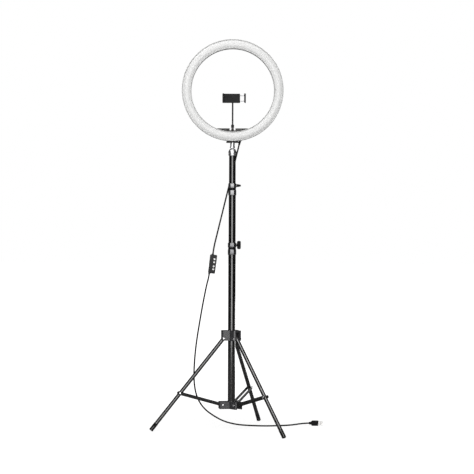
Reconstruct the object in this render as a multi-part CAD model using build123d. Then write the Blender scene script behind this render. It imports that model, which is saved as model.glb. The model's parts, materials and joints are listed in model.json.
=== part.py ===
from build123d import *
import os
from math import atan2, cos, degrees, hypot, pi, radians, sin, sqrt, tan

# Ring light on a folding tripod stand, millimetres, +Z up.
# The origin is on the floor, on the mast's axis. The lit face looks along -Y.

# ---- driving dimensions -------------------------------------------------------

# Fits
PRESS = 0.02            # radial gap of pieces that are pressed or glued together
SLIP = 0.1              # radial gap of a tube that slides in another
PIN_RUN = 0.06          # radial gap of a hinge pin in its hole
AIR = 0.3               # gap between faces of different moving pieces

# Mast tubes
WALL = 0.5
LOWER_R = 12.0
MIDDLE_R = LOWER_R - WALL - SLIP
UPPER_R = MIDDLE_R - WALL - SLIP
LOWER_Z = (69.5, 590.0)
MIDDLE_Z = (284.0, 782.0)
UPPER_Z = (412.0, 891.0)

# Clamping collars: lower band, waist, upper band
LOWER_COLLAR_Z = (569.0, 587.0, 593.0, 608.0)
UPPER_COLLAR_Z = (762.0, 779.0, 786.0, 801.0)
LOWER_COLLAR_R = 13.6
UPPER_COLLAR_R = 13.0
COLLAR_CHAMFER = 1.5
LOWER_KNOB_Z = 601.0
UPPER_KNOB_Z = 794.0
KNOB_BOSS_R = 5.0
SCREW_R = 2.5
WING = (12.6, 27.0)             # how far a wing stands out, and its span

# Tripod: directions of the legs, seen from above, counter-clockwise from +X
LEG_AZIMUTH = {"left": 189.2, "right": 309.2, "back": 69.2}
LEG_PIVOT = (27.0, 297.0)       # radius, height
BRACE_PIVOT = (29.0, 82.0)
JOINT_PIVOT = (168.0, 121.0)    # where a brace meets its leg
LEG_R = 6.3
LEG_WALL = 1.0
LEG_OVER = 8.0                  # the leg tube's end above its pivot
FOOT_R = 6.9
FOOT_LENGTH = 28.0
FOOT_FLOOR = 3.0
FOOT_END_Z = 3.0
LEG_PIN_R = 2.5
RIVET_R = 2.0
STRIP_WIDTH = 10.0
STRIP_IN = 7.2                  # the strips' inner faces from the leg's plane
STRIP_THICK = 1.5
STRIP_PAST = (6.0, 9.0)         # strip past its lower and upper pivot

# Hubs
HUB_CORE_R = 16.0
HUB_ARM_HALF = 14.7
HUB_BEVEL = 3.0
LEG_HUB_Z = (291.0, 324.0)
LEG_HUB_REACH = 33.0
LEG_CHANNEL_HALF = 7.2
LEG_HUB_ROOF = 6.0
BOTTOM_HUB_Z = (69.5, 93.5)
BOTTOM_HUB_REACH = 41.0
BOTTOM_CHANNEL_HALF = 9.2
CHANNEL_FLOOR_R = 16.5
LEG_HUB_KNOB_AZIMUTH = 129.2
LEG_HUB_KNOB_Z = 307.0
LEG_HUB_BOSS_END = 21.7

# Tilting head
SOCKET_R = 13.0
SOCKET_Z = (UPPER_Z[1] + AIR, 913.0)
SHOULDER_Z = 905.0              # above it the socket closes in round the ball
SOCKET_TOP_R = 8.6
BALL_Z = 907.0
BALL_R = 9.5
STEM_R = 4.0
NECK_R = 7.2
NECK_Z = (916.3, 933.5)
SKIRT = (8.6, 6.0)              # the neck's radius at its foot, and how high it flares
STUD_R = 3.0
LOCK_Z = 903.0

# Ring
RING_Z = 1103.3
RING_OUT = 165.0
RING_IN = 134.5
RING_Y = (-13.0, 13.0)
SHELL_WALL = 2.2
SHELL_EDGE = 5.0
LEDGE_Y = (-9.4, -7.6)
LEDGE_REACH = 1.6
POST_RADIUS = (RING_OUT + RING_IN) / 2
POST_COUNT = 6
BOARD_Y = (5.0, 6.6)
BOARD_HALF = 8.8
CHIP = (3.5, 0.8, 2.8)
CHIPS_PER_ROW = 48
CHIP_ROW_OFFSET = 4.6

# Bracket under and behind the ring
FOOT_PLATE = (20.0, -12.0, 16.0)        # half width, front, back
FOOT_PLATE_Z = (933.5, 937.0)
WEB_HALF = 19.0
PLATE_HALF = 60.0
PLATE_Y = (13.0, 16.0)
PLATE_Z = (962.0, 981.0)
NOTCH_HALF = 9.5
NOTCH_Z = 974.5
BRACKET_SCREW = (48.0, 968.5)

# Phone holder
ARM_Y = 14.5
ARM_BALL_Z = 987.0
ARM_BALL_R = 3.6
ARM_ROD_R = 2.5
CLAMP_Z = 1077.5
CLAMP_HALF = 14.8
GRIP_X = (-29.3, 38.7)          # the gap between the two rubber pads
PAD = 1.0
JAW = 3.0
HOOK = 1.5
JAW_Y = (-15.0, 3.0)
CLAMP_BODY_Y = (-3.0, 3.0)
COVER_Y = 5.5
CLAMP_END_X = 24.0
ROD_R = 1.5
ROD_Y = 0.3
ROD_SPREAD = 9.0
ROD_COLLAR_X = -19.0
CHANNEL_X = (-22.0, 20.0)
YOKE_EYE_R = 5.0
YOKE_BRIDGE_Y = (6.5, 9.0)

# Cord, controller and plug
CORD_R = 2.5
GLAND_TOP = (25.5, 18.5, 944.0)
GLAND_LENGTH = 18.0
GLAND_R = (4.3, 3.2)
BOX_LEAN = 7.0                  # the controller hangs with its top towards +X
BOX_SIZE = (23.0, 12.0, 61.5)
BOX_TOP = (-59.5, 20.0, 569.0)
BOX_WALL = 1.5
BOX_CORNER = 3.5
CORD_IN_X = -3.0                # where the cord enters the top, and leaves the foot,
CORD_OUT_X = -7.0               # across from the controller's middle
BUTTON_R = 3.1
BUTTON_X = 4.5
BUTTON_HEIGHTS = (16.5, 6.2, -6.8, -16.6)
PLUG = (258.0, 116.5, 8.8)
PLUG_LENGTH = 31.0
PLUG_HEIGHT = 17.4
PLUG_DEPTH = 8.6
SHELL_LENGTH = 14.0
SHELL_HEIGHT = 12.0
SHELL_DEPTH = 4.5

# Where each straight stretch of cord hands over to the next
HEAD_CORD = 32.0
NECK_CORD = 46.0
LEAD_IN = 23.0                  # cord in line with the controller above it
LEAD_OUT = 14.0                 # and below it

# The long cord, from below the controller to just before the plug
LONG_ROUTE = [
    (-81.5, 21, 474), (-88.5, 24, 440), (-96.5, 28.5, 398), (-104, 34, 354),
    (-112, 40, 306), (-118.5, 47.5, 258), (-122.5, 55, 210), (-124, 62, 166),
    (-121, 69.5, 126), (-111, 78.5, 90), (-91, 89, 59), (-61, 97.5, 35),
    (-24, 104, 14.5), (18, 107, 4.1), (62, 96, 2.6), (108, 86, 2.6),
    (154, 94, 2.6), (200, 110, 2.9), (238, 116.5, 8.2),
]


# ---- helpers ------------------------------------------------------------------

def save(name, *solids):
    """One piece is written alone, like pieces as a group of separate solids."""
    shape = solids[0] if len(solids) == 1 else Compound(children=list(solids))
    export_step(shape, f"parts/{name}.step")


def rod(radius, start, end, end_radius=None):
    """A cylinder, or a cone where an end radius is given, from one point to another."""
    start, end = Vector(*start), Vector(*end)
    plane = Plane(origin=start, z_dir=end - start)
    length = (end - start).length
    low = (Align.CENTER, Align.CENTER, Align.MIN)
    if end_radius is None:
        return plane * Cylinder(radius, length, align=low)
    return plane * Cone(radius, end_radius, length, align=low)


def upright(radius, low, high, x=0.0, y=0.0):
    return rod(radius, (x, y, low), (x, y, high))


def pipe(outer, inner, low, high):
    return upright(outer, low, high) - upright(inner, low - 1, high + 1)


def block(xs, ys, zs):
    box = Box(xs[1] - xs[0], ys[1] - ys[0], zs[1] - zs[0], align=(Align.MIN,) * 3)
    return Pos(xs[0], ys[0], zs[0]) * box


def slab(sketch, front, back, x=0.0, z=0.0):
    """A flat sketch, seen from the front, as a slab between two depths."""
    plane = Plane(origin=(x, back, z), x_dir=(1, 0, 0), z_dir=(0, -1, 0))
    return extrude(plane * sketch, amount=back - front)


def annulus(outer, inner, front, back):
    """A flat ring about the light's own axis."""
    hole = rod(inner, (0, front - 1, RING_Z), (0, back + 1, RING_Z))
    return rod(outer, (0, front, RING_Z), (0, back, RING_Z)) - hole


def ball(radius, x, y, z):
    return Pos(x, y, z) * Sphere(radius)


def turned(azimuth):
    return Rot(0, 0, azimuth)


def on_ring(radius, angle):
    return (radius * cos(radians(angle)), RING_Z + radius * sin(radians(angle)))


# ---- mast ---------------------------------------------------------------------

def mast_tube(radius, heights):
    return pipe(radius, radius - WALL, *heights)


def collar_band(radius, low, high):
    band = extrude(Pos(0, 0, low) * RegularPolygon(radius, 8, major_radius=False), amount=high - low)
    rims = band.edges().filter_by(GeomType.LINE).group_by(Axis.Z)
    return chamfer(rims[0] + rims[-1], COLLAR_CHAMFER)


def collar(radius, heights, held_r, held_top, guided_r, knob_z):
    """Two faceted bands on a waist: the lower grips its tube, the upper guides the next."""
    low, waist_low, waist_high, high = heights
    body = collar_band(radius, low, waist_low) + collar_band(radius, waist_high, high)
    body += upright(radius - 1.0, low + 1, high - 1)
    body += rod(KNOB_BOSS_R, (0, 0, knob_z), (radius + 1.7, 0, knob_z))
    body -= upright(held_r + PRESS, low - 1, held_top)
    body -= upright(guided_r + SLIP, held_top - 1, high + 1)
    return body - rod(SCREW_R + PIN_RUN, (0, 0, knob_z), (radius + 5, 0, knob_z))


def wing_knob(tip_x, hub_x, height, upright_wing):
    """A moulded wing on its screw, which points to the tube along X."""
    reach, span = WING
    wing = slab(RectangleRounded(reach, span, 4.5), -2.45, 2.45, x=hub_x + 0.2 + reach / 2)
    hub = rod(4.9, (hub_x, 0, 0), (hub_x + 11.0, 0, 0), end_radius=2.5)
    knob = wing + hub + rod(SCREW_R, (tip_x, 0, 0), (hub_x + 2, 0, 0))
    if not upright_wing:
        knob = Rot(90, 0, 0) * knob
    return Pos(0, 0, height) * knob


def make_mast():
    save("lower_tube", mast_tube(LOWER_R, LOWER_Z))
    save("middle_tube", mast_tube(MIDDLE_R, MIDDLE_Z))
    save("upper_tube", mast_tube(UPPER_R, UPPER_Z))
    save("lower_collar", collar(
        LOWER_COLLAR_R, LOWER_COLLAR_Z, LOWER_R, LOWER_Z[1], MIDDLE_R, LOWER_KNOB_Z))
    save("upper_collar", collar(
        UPPER_COLLAR_R, UPPER_COLLAR_Z, MIDDLE_R, MIDDLE_Z[1], UPPER_R, UPPER_KNOB_Z))
    save("lower_knob", wing_knob(MIDDLE_R + AIR, LOWER_COLLAR_R + 2.2, LOWER_KNOB_Z, True))
    save("upper_knob", wing_knob(UPPER_R + AIR, UPPER_COLLAR_R + 2.2, UPPER_KNOB_Z, False))


# ---- tripod -------------------------------------------------------------------

def leg_direction():
    reach = JOINT_PIVOT[0] - LEG_PIVOT[0]
    drop = LEG_PIVOT[1] - JOINT_PIVOT[1]
    return Vector(reach, 0, -drop).normalized()


def leg_point(distance):
    return Vector(LEG_PIVOT[0], 0, LEG_PIVOT[1]) + leg_direction() * distance


def foot_distance():
    return (LEG_PIVOT[1] - FOOT_END_Z) / -leg_direction().Z


def leg_tube():
    end = foot_distance() - FOOT_FLOOR - PRESS
    tube = rod(LEG_R, leg_point(-LEG_OVER), leg_point(end))
    tube -= rod(LEG_R - LEG_WALL, leg_point(-LEG_OVER - 1), leg_point(end + 1))
    pivot = leg_point(0)
    hole = rod(LEG_PIN_R + PIN_RUN, (pivot.X, -LEG_R * 2, pivot.Z), (pivot.X, LEG_R * 2, pivot.Z))
    return tube - hole


def leg_foot():
    """A rubber cap with a flat worn into it where it stands on the floor."""
    end = foot_distance()
    cap = rod(FOOT_R, leg_point(end - FOOT_LENGTH), leg_point(end))
    cap -= rod(LEG_R + PRESS, leg_point(end - FOOT_LENGTH - 1), leg_point(end - FOOT_FLOOR))
    foot = leg_point(end)
    under = block((foot.X - 50, foot.X + 50), (-50, 50), (-50, 0))
    return cap - under


def strip(side):
    """One flat brace bar beside the leg's plane, on the side of +Y or -Y."""
    lower, upper = Vector(BRACE_PIVOT[0], 0, BRACE_PIVOT[1]), Vector(JOINT_PIVOT[0], 0, JOINT_PIVOT[1])
    along = (upper - lower).normalized()
    start, end = lower - along * STRIP_PAST[0], upper + along * STRIP_PAST[1]
    middle = (start + end) * 0.5
    inner = STRIP_IN if side > 0 else -STRIP_IN - STRIP_THICK
    plane = Plane(origin=(middle.X, inner, middle.Z), x_dir=along, z_dir=(0, 1, 0))
    outline = SlotOverall((end - start).length, STRIP_WIDTH)
    bar = extrude(plane * outline, amount=STRIP_THICK)
    for pivot, radius in ((lower, RIVET_R + PIN_RUN), (upper, RIVET_R + PRESS)):
        bar -= rod(radius, (pivot.X, inner - 1, pivot.Z), (pivot.X, inner + STRIP_THICK + 1, pivot.Z))
    return bar


def stub_rivet(pivot, side, shank_end, shank_r, head_r):
    """A short rivet from a strip's inner face outwards, with its head outside."""
    x, z = pivot
    shank = rod(shank_r, (x, side * STRIP_IN, z), (x, side * shank_end, z))
    head = rod(head_r, (x, side * shank_end, z), (x, side * (shank_end + 1.6), z), head_r * 0.6)
    return shank + head


def hub(heights, reach, channel_half, bore, roof):
    low, high = heights
    outline = Polyline(
        (0, -HUB_ARM_HALF), (reach - HUB_BEVEL, -HUB_ARM_HALF), (reach, -HUB_ARM_HALF + HUB_BEVEL),
        (reach, HUB_ARM_HALF - HUB_BEVEL), (reach - HUB_BEVEL, HUB_ARM_HALF), (0, HUB_ARM_HALF),
        close=True)
    arm = extrude(Pos(0, 0, low) * make_face(outline), amount=high - low)
    slot = block((CHANNEL_FLOOR_R, reach + 1), (-channel_half, channel_half), (low - 1, high + 1 - roof))
    body = upright(HUB_CORE_R, low, high)
    for azimuth in LEG_AZIMUTH.values():
        body += turned(azimuth) * arm
    for azimuth in LEG_AZIMUTH.values():
        body -= turned(azimuth) * slot
    return body - upright(bore, low - 1, high + 1)


def pivot_holes(pivot, radius):
    hole = rod(radius, (pivot[0], -20, pivot[1]), (pivot[0], 20, pivot[1]))
    return [turned(azimuth) * hole for azimuth in LEG_AZIMUTH.values()]


def leg_hub():
    body = hub(LEG_HUB_Z, LEG_HUB_REACH, LEG_CHANNEL_HALF, LOWER_R + SLIP, LEG_HUB_ROOF + 1)
    z = LEG_HUB_KNOB_Z
    boss = rod(6.0, (LOWER_R + 1, 0, z), (LEG_HUB_BOSS_END, 0, z))
    body += turned(LEG_HUB_KNOB_AZIMUTH) * boss
    screw_hole = rod(SCREW_R + PIN_RUN, (5, 0, z), (LEG_HUB_BOSS_END + 1, 0, z))
    body -= turned(LEG_HUB_KNOB_AZIMUTH) * screw_hole
    for hole in pivot_holes(LEG_PIVOT, LEG_PIN_R + PRESS):
        body -= hole
    return body


def leg_hub_knob():
    """A three-lobed clamping knob on its screw."""
    z = LEG_HUB_KNOB_Z
    base = LEG_HUB_BOSS_END + AIR
    knob = rod(6.2, (base, 0, z), (base + 12, 0, z))
    for angle in (90, 210, 330):
        y, dz = 5.0 * cos(radians(angle)), 5.0 * sin(radians(angle))
        knob += rod(4.0, (base + 3, y, z + dz), (base + 12, y, z + dz))
    knob += rod(SCREW_R, (LOWER_R + AIR, 0, z), (base + 1, 0, z))
    return turned(LEG_HUB_KNOB_AZIMUTH) * knob


def leg_pins():
    end = HUB_ARM_HALF + 0.1
    x, z = LEG_PIVOT
    pin = rod(LEG_PIN_R, (x, -end, z), (x, end, z))
    for side in (-1, 1):
        pin += rod(4.2, (x, side * end, z), (x, side * (end + 1.7), z), 2.4)
    return [turned(azimuth) * pin for azimuth in LEG_AZIMUTH.values()]


def hub_rivets():
    rivets = []
    for azimuth in LEG_AZIMUTH.values():
        for side in (-1, 1):
            rivets.append(turned(azimuth) * stub_rivet(BRACE_PIVOT, side, HUB_ARM_HALF, RIVET_R, 3.6))
    return rivets


def bottom_hub():
    body = hub(BOTTOM_HUB_Z, BOTTOM_HUB_REACH, BOTTOM_CHANNEL_HALF, LOWER_R + PRESS, 0)
    for hole in pivot_holes(BRACE_PIVOT, RIVET_R + PRESS):
        body -= hole
    return body


def make_tripod():
    save("leg_hub", leg_hub())
    save("leg_pins", *leg_pins())
    save("leg_hub_knob", leg_hub_knob())
    save("bottom_hub", bottom_hub())
    save("hub_rivets", *hub_rivets())
    tube, foot = leg_tube(), leg_foot()
    strips = [strip(-1), strip(1)]
    strip_out = STRIP_IN + STRIP_THICK
    rivets = [stub_rivet(JOINT_PIVOT, side, strip_out, RIVET_R, 4.0) for side in (-1, 1)]
    for name, azimuth in LEG_AZIMUTH.items():
        place = turned(azimuth)
        save(f"leg_{name}_tube", place * tube)
        save(f"leg_{name}_foot", place * foot)
        save(f"brace_{name}_strips", *[place * bar for bar in strips])
        save(f"brace_{name}_rivets", *[place * rivet for rivet in rivets])


# ---- tilting head -------------------------------------------------------------

def top_stud():
    """A plug pressed into the top tube, with the screw that the head turns on."""
    plug = upright(UPPER_R - WALL - PRESS, UPPER_Z[1] - 28, UPPER_Z[1])
    return plug + upright(STUD_R, UPPER_Z[1], BALL_Z - BALL_R - 1.5)


def head_socket():
    low, high = SOCKET_Z
    body = upright(SOCKET_R, low, SHOULDER_Z)
    body = chamfer(body.edges().filter_by(GeomType.CIRCLE).group_by(Axis.Z)[0], 1.0)
    body += rod(SOCKET_R, (0, 0, SHOULDER_Z), (0, 0, high), SOCKET_TOP_R)
    groove = pipe(SOCKET_R + 2, SOCKET_R - 1.0, low + 5, low + 6.5)
    body -= groove
    body -= ball(BALL_R + 0.1, 0, 0, BALL_Z)
    body -= upright(STUD_R + PIN_RUN, low - 1, BALL_Z)
    body += rod(4.6, (0, SOCKET_R - 1.5, LOCK_Z), (0, SOCKET_R + 1, LOCK_Z))
    return body - rod(SCREW_R + PIN_RUN, (0, 5, LOCK_Z), (0, SOCKET_R + 2, LOCK_Z))


def socket_knob():
    base = SOCKET_R + 1 + AIR
    grip = Plane(origin=(0, base, LOCK_Z), z_dir=(0, 1, 0)) * RegularPolygon(6.8, 12)
    knob = extrude(grip, amount=9.5)
    return knob + rod(SCREW_R, (0, BALL_R + AIR, LOCK_Z), (0, base + 1, LOCK_Z))


def tilt_ball():
    body = ball(BALL_R, 0, 0, BALL_Z)
    body += upright(STEM_R, BALL_Z, NECK_Z[0] + 1)
    body += upright(NECK_R, *NECK_Z)
    skirt_r, skirt_height = SKIRT
    body += rod(skirt_r, (0, 0, NECK_Z[0]), (0, 0, NECK_Z[0] + skirt_height), NECK_R)
    return body + upright(STUD_R, NECK_Z[1], FOOT_PLATE_Z[1] - 0.5)


def make_head():
    save("top_stud", top_stud())
    save("head_socket", head_socket())
    save("socket_knob", socket_knob())
    save("tilt_ball", tilt_ball())


# ---- ring ---------------------------------------------------------------------

def ring_post_places():
    return [on_ring(POST_RADIUS, 360 / POST_COUNT * index) for index in range(POST_COUNT)]


def bracket_screw_places():
    return [(side * BRACKET_SCREW[0], BRACKET_SCREW[1]) for side in (-1, 1)]


def back_shell():
    """A ring-shaped trough, open to the front, with ledges, posts and the cord's outlet."""
    front, back = RING_Y
    body = annulus(RING_OUT, RING_IN, front, back)
    rims = body.edges().filter_by(GeomType.CIRCLE).group_by(Axis.Y)[-1]
    body = fillet(rims, SHELL_EDGE)
    outer, inner = RING_OUT - SHELL_WALL, RING_IN + SHELL_WALL
    body -= annulus(outer, inner, front - 1, back - SHELL_WALL)
    body += annulus(outer + 0.1, outer - LEDGE_REACH, *LEDGE_Y)
    body += annulus(inner + LEDGE_REACH, inner - 0.1, *LEDGE_Y)
    for x, z in ring_post_places():
        body += rod(3.5, (x, BOARD_Y[1], z), (x, back - 1, z))
    for x, z in bracket_screw_places():
        body += rod(3.5, (x, BOARD_Y[1] + 1, z), (x, back - 1, z))
    for x, z in ring_post_places() + bracket_screw_places():
        body -= rod(1.5 + PRESS, (x, front, z), (x, back + 1, z))
    x, y, z = GLAND_TOP
    outlet = block((x - 6, x + 6), (back - 1, y + 5.5), (z, z + 18))
    outlet = chamfer(outlet.edges().filter_by(Axis.Z).group_by(Axis.Y)[-1], 3.0)
    return body + outlet - rod(GLAND_R[0] + PRESS, (x, y, z - 1), (x, y, z + 4))


def front_diffuser():
    """A thin ring with a gently crowned face, let in between the shell's rims."""
    gap = 0.2
    low, high = RING_IN + SHELL_WALL + gap, RING_OUT - SHELL_WALL - gap
    back, edge, crown = LEDGE_Y[0], RING_Y[0] + 2.2, RING_Y[0] - 1.8
    outline = Polyline((high, edge), (high, back), (low, back), (low, edge))
    face = ThreePointArc((low, edge), ((low + high) / 2, crown), (high, edge))
    section = make_face(outline.edges() + face.edges())
    return Pos(0, 0, RING_Z) * revolve(section, Axis.Y)


def led_board():
    board = annulus(POST_RADIUS + BOARD_HALF, POST_RADIUS - BOARD_HALF, *BOARD_Y)
    for x, z in ring_post_places():
        board -= rod(1.5 + PRESS, (x, BOARD_Y[0] - 1, z), (x, BOARD_Y[1] + 1, z))
    return board


def led_chips():
    """Two rows of light-emitting chips on the board's front."""
    chips = []
    step = 360 / CHIPS_PER_ROW
    for row, radius in enumerate((POST_RADIUS - CHIP_ROW_OFFSET, POST_RADIUS + CHIP_ROW_OFFSET)):
        for index in range(CHIPS_PER_ROW):
            angle = step * (index + 0.25 + 0.5 * row)
            x, z = on_ring(radius, angle)
            place = Location((x, BOARD_Y[0] - CHIP[1] / 2, z), (0, -angle, 0))
            chips.append(place * Box(*CHIP))
    return chips


def round_screws(places, tip, seat, head_r=2.8):
    screws = []
    for x, z in places:
        screw = rod(1.5, (x, tip, z), (x, seat, z))
        screws.append(screw + rod(head_r, (x, seat, z), (x, seat + 1.5, z), head_r - 1))
    return screws


def ring_bracket():
    half, front, back = FOOT_PLATE
    foot = block((-half, half), (front, back), FOOT_PLATE_Z)
    foot = fillet(foot.edges().filter_by(Axis.Z), 4.0)
    web = block((-WEB_HALF, WEB_HALF), PLATE_Y, (FOOT_PLATE_Z[0] + 1, PLATE_Z[0] + 5))
    height = PLATE_Z[1] - PLATE_Z[0]
    plate = slab(RectangleRounded(2 * PLATE_HALF, height, 5.0), *PLATE_Y, z=PLATE_Z[0] + height / 2)
    body = foot + web + plate
    for side in (-1, 1):
        x = side * (WEB_HALF - 4)
        rib = block((x - 1.5, x + 1.5), (PLATE_Y[0], PLATE_Y[1] + 4), (FOOT_PLATE_Z[0] + 2, PLATE_Z[1] - 4))
        body += chamfer(rib.edges().filter_by(Axis.X).group_by(Axis.Y)[-1], 3.5)
    body -= block((-NOTCH_HALF, NOTCH_HALF), (0, 30), (NOTCH_Z, PLATE_Z[1] + 1))
    for x, z in bracket_screw_places():
        body -= rod(1.5 + PRESS, (x, 0, z), (x, 30, z))
    return body - upright(STUD_R + PRESS, FOOT_PLATE_Z[0] - 1, FOOT_PLATE_Z[1] + 1)


def make_ring():
    save("back_shell", back_shell())
    save("front_diffuser", front_diffuser())
    save("led_board", led_board())
    save("led_chips", *led_chips())
    save("shell_screws", *round_screws(ring_post_places(), BOARD_Y[0] + 0.2, RING_Y[1]))
    save("ring_bracket", ring_bracket())
    save("bracket_screws", *round_screws(bracket_screw_places(), BOARD_Y[1] + 2, PLATE_Y[1]))


# ---- phone holder -------------------------------------------------------------

def arm_base():
    """A post clipped over the bracket's edge, with a ball on top."""
    post = upright(4.25, NOTCH_Z - 2.4, PLATE_Z[1], y=ARM_Y)
    post -= block((-10, 10), PLATE_Y, (NOTCH_Z - 10, NOTCH_Z))
    post += upright(1.6, PLATE_Z[1] - 1, ARM_BALL_Z, y=ARM_Y)
    return post + ball(ARM_BALL_R, 0, ARM_Y, ARM_BALL_Z)


def phone_arm():
    """A rod with a ball socket at its foot and an eye at its top."""
    low, high = ARM_BALL_Z - 4.6, ARM_BALL_Z + 6
    body = upright(5.0, low, high, y=ARM_Y)
    body = chamfer(body.edges().filter_by(GeomType.CIRCLE), 0.9)
    body += upright(ARM_ROD_R, high - 1, CLAMP_Z, y=ARM_Y)
    body += rod(YOKE_EYE_R, (-4, ARM_Y, CLAMP_Z), (4, ARM_Y, CLAMP_Z))
    body -= rod(ROD_R + PIN_RUN, (-6, ARM_Y, CLAMP_Z), (6, ARM_Y, CLAMP_Z))
    body -= ball(ARM_BALL_R + 0.1, 0, ARM_Y, ARM_BALL_Z)
    return body - upright(3.2, low - 1, ARM_BALL_Z, y=ARM_Y)


def clamp_yoke():
    """Two cheeks beside the eye, a bridge, and the stub that the clamp turns on."""
    front, back = YOKE_BRIDGE_Y
    body = block((-7.4, 7.4), (front, back), (CLAMP_Z - YOKE_EYE_R, CLAMP_Z + YOKE_EYE_R))
    for side in (-1, 1):
        xs = sorted((side * (4 + AIR), side * 7.4))
        body += block(xs, (front, ARM_Y), (CLAMP_Z - YOKE_EYE_R, CLAMP_Z + YOKE_EYE_R))
        body += rod(YOKE_EYE_R, (xs[0], ARM_Y, CLAMP_Z), (xs[1], ARM_Y, CLAMP_Z))
    body -= rod(ROD_R + PRESS, (-9, ARM_Y, CLAMP_Z), (9, ARM_Y, CLAMP_Z))
    return body + rod(3.0, (0, CLAMP_BODY_Y[1] + 0.2, CLAMP_Z), (0, front, CLAMP_Z))


def yoke_pin():
    pin = rod(ROD_R, (-7.5, ARM_Y, CLAMP_Z), (7.5, ARM_Y, CLAMP_Z))
    for side in (-1, 1):
        pin += rod(2.8, (side * 7.5, ARM_Y, CLAMP_Z), (side * 8.8, ARM_Y, CLAMP_Z), 2.0)
    return pin


def clamp_heights():
    return (CLAMP_Z - CLAMP_HALF, CLAMP_Z + CLAMP_HALF)


def jaw(inner_x, side, back):
    """One jaw with its hook over the phone's face; side is its direction along X."""
    outer = inner_x + side * (PAD + JAW)
    plate = block(sorted((inner_x + side * PAD, outer)), (JAW_Y[0], back), clamp_heights())
    hook = block(sorted((inner_x - side * HOOK, outer)), (JAW_Y[0], JAW_Y[0] + 2), clamp_heights())
    body = plate + hook
    return fillet(body.edges().filter_by(Axis.Y).group_by(SortBy.LENGTH)[-1], 2.0)


def jaw_pad(inner_x, side):
    xs = sorted((inner_x, inner_x + side * PAD))
    low, high = clamp_heights()
    return block(xs, (JAW_Y[0] + 2.1, CLAMP_BODY_Y[0] - 0.1), (low + 1.5, high - 1.5))


def clamp_body():
    left = GRIP_X[0] - PAD - JAW
    low, high = clamp_heights()
    body = block((left, CLAMP_END_X), CLAMP_BODY_Y, (low, high))
    body = fillet(body.edges().filter_by(Axis.Y), 2.0)
    body += jaw(GRIP_X[0], -1, CLAMP_BODY_Y[1])
    for side in (-1, 1):
        z = CLAMP_Z + side * ROD_SPREAD
        body -= block(CHANNEL_X, (-2.4, 10), (z - 3.1, z + 3.1))
        body -= rod(ROD_R + PIN_RUN, (0, ROD_Y, z), (CLAMP_END_X + 1, ROD_Y, z))
    return body


def clamp_cover():
    left = GRIP_X[0] - PAD - JAW
    low, high = clamp_heights()
    plate = block((left, CLAMP_END_X), (CLAMP_BODY_Y[1], COVER_Y), (low, high))
    plate = fillet(plate.edges().filter_by(Axis.Y), 2.0)
    plate = chamfer(plate.faces().sort_by(Axis.Y)[-1].edges(), 1.0)
    boss_end = YOKE_BRIDGE_Y[0] - AIR
    plate += rod(7.0, (0, COVER_Y - 1, CLAMP_Z), (0, boss_end, CLAMP_Z))
    return plate - rod(3.0 + PIN_RUN, (0, 0, CLAMP_Z), (0, boss_end + 1, CLAMP_Z))


def clamp_rods():
    rods = []
    for side in (-1, 1):
        z = CLAMP_Z + side * ROD_SPREAD
        bar = rod(ROD_R, (ROD_COLLAR_X, ROD_Y, z), (GRIP_X[1] + PAD + 2, ROD_Y, z))
        rods.append(bar + rod(2.3, (ROD_COLLAR_X, ROD_Y, z), (ROD_COLLAR_X + 1.5, ROD_Y, z)))
    return rods


def clamp_jaw():
    body = jaw(GRIP_X[1], 1, COVER_Y)
    for side in (-1, 1):
        z = CLAMP_Z + side * ROD_SPREAD
        body -= rod(ROD_R + PRESS, (GRIP_X[1] - 5, ROD_Y, z), (GRIP_X[1] + PAD + 2, ROD_Y, z))
    return body


def clamp_springs():
    start = ROD_COLLAR_X + 2.0
    length = CHANNEL_X[1] - start - 0.6
    coil = Helix(pitch=length / 11, height=length, radius=2.0)
    wire = sweep(Plane(origin=coil @ 0, z_dir=coil % 0) * Circle(0.3), path=coil, is_frenet=True)
    springs = []
    for side in (-1, 1):
        place = Location((start, ROD_Y, CLAMP_Z + side * ROD_SPREAD), (0, 90, 0))
        springs.append(place * wire)
    return springs


def make_phone_holder():
    save("arm_base", arm_base())
    save("phone_arm", phone_arm())
    save("clamp_yoke", clamp_yoke())
    save("yoke_pin", yoke_pin())
    save("clamp_body", clamp_body())
    save("clamp_cover", clamp_cover())
    save("clamp_fixed_pad", jaw_pad(GRIP_X[0], -1))
    save("clamp_jaw", clamp_jaw())
    save("clamp_jaw_pad", jaw_pad(GRIP_X[1], 1))
    save("clamp_rods", *clamp_rods())
    save("clamp_springs", *clamp_springs())


# ---- controller on the cord ---------------------------------------------------

def box_down():
    return Vector(-sin(radians(BOX_LEAN)), 0, -cos(radians(BOX_LEAN)))


def box_place():
    centre = Vector(*BOX_TOP) + box_down() * (BOX_SIZE[2] / 2)
    return Pos(centre.X, centre.Y, centre.Z) * Rot(0, BOX_LEAN, 0)


def box_half(front, back, cavity_front, cavity_back):
    width, _, height = BOX_SIZE
    outside = slab(RectangleRounded(width, height, BOX_CORNER), front, back)
    inner = RectangleRounded(width - 2 * BOX_WALL, height - 2 * BOX_WALL, BOX_CORNER - BOX_WALL)
    outer_face = front if cavity_front > front else back
    rim = outside.faces().sort_by(Axis.Y)[0 if outer_face == front else -1].edges()
    outside = fillet(rim, 1.4)
    return outside - slab(inner, cavity_front, cavity_back)


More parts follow.
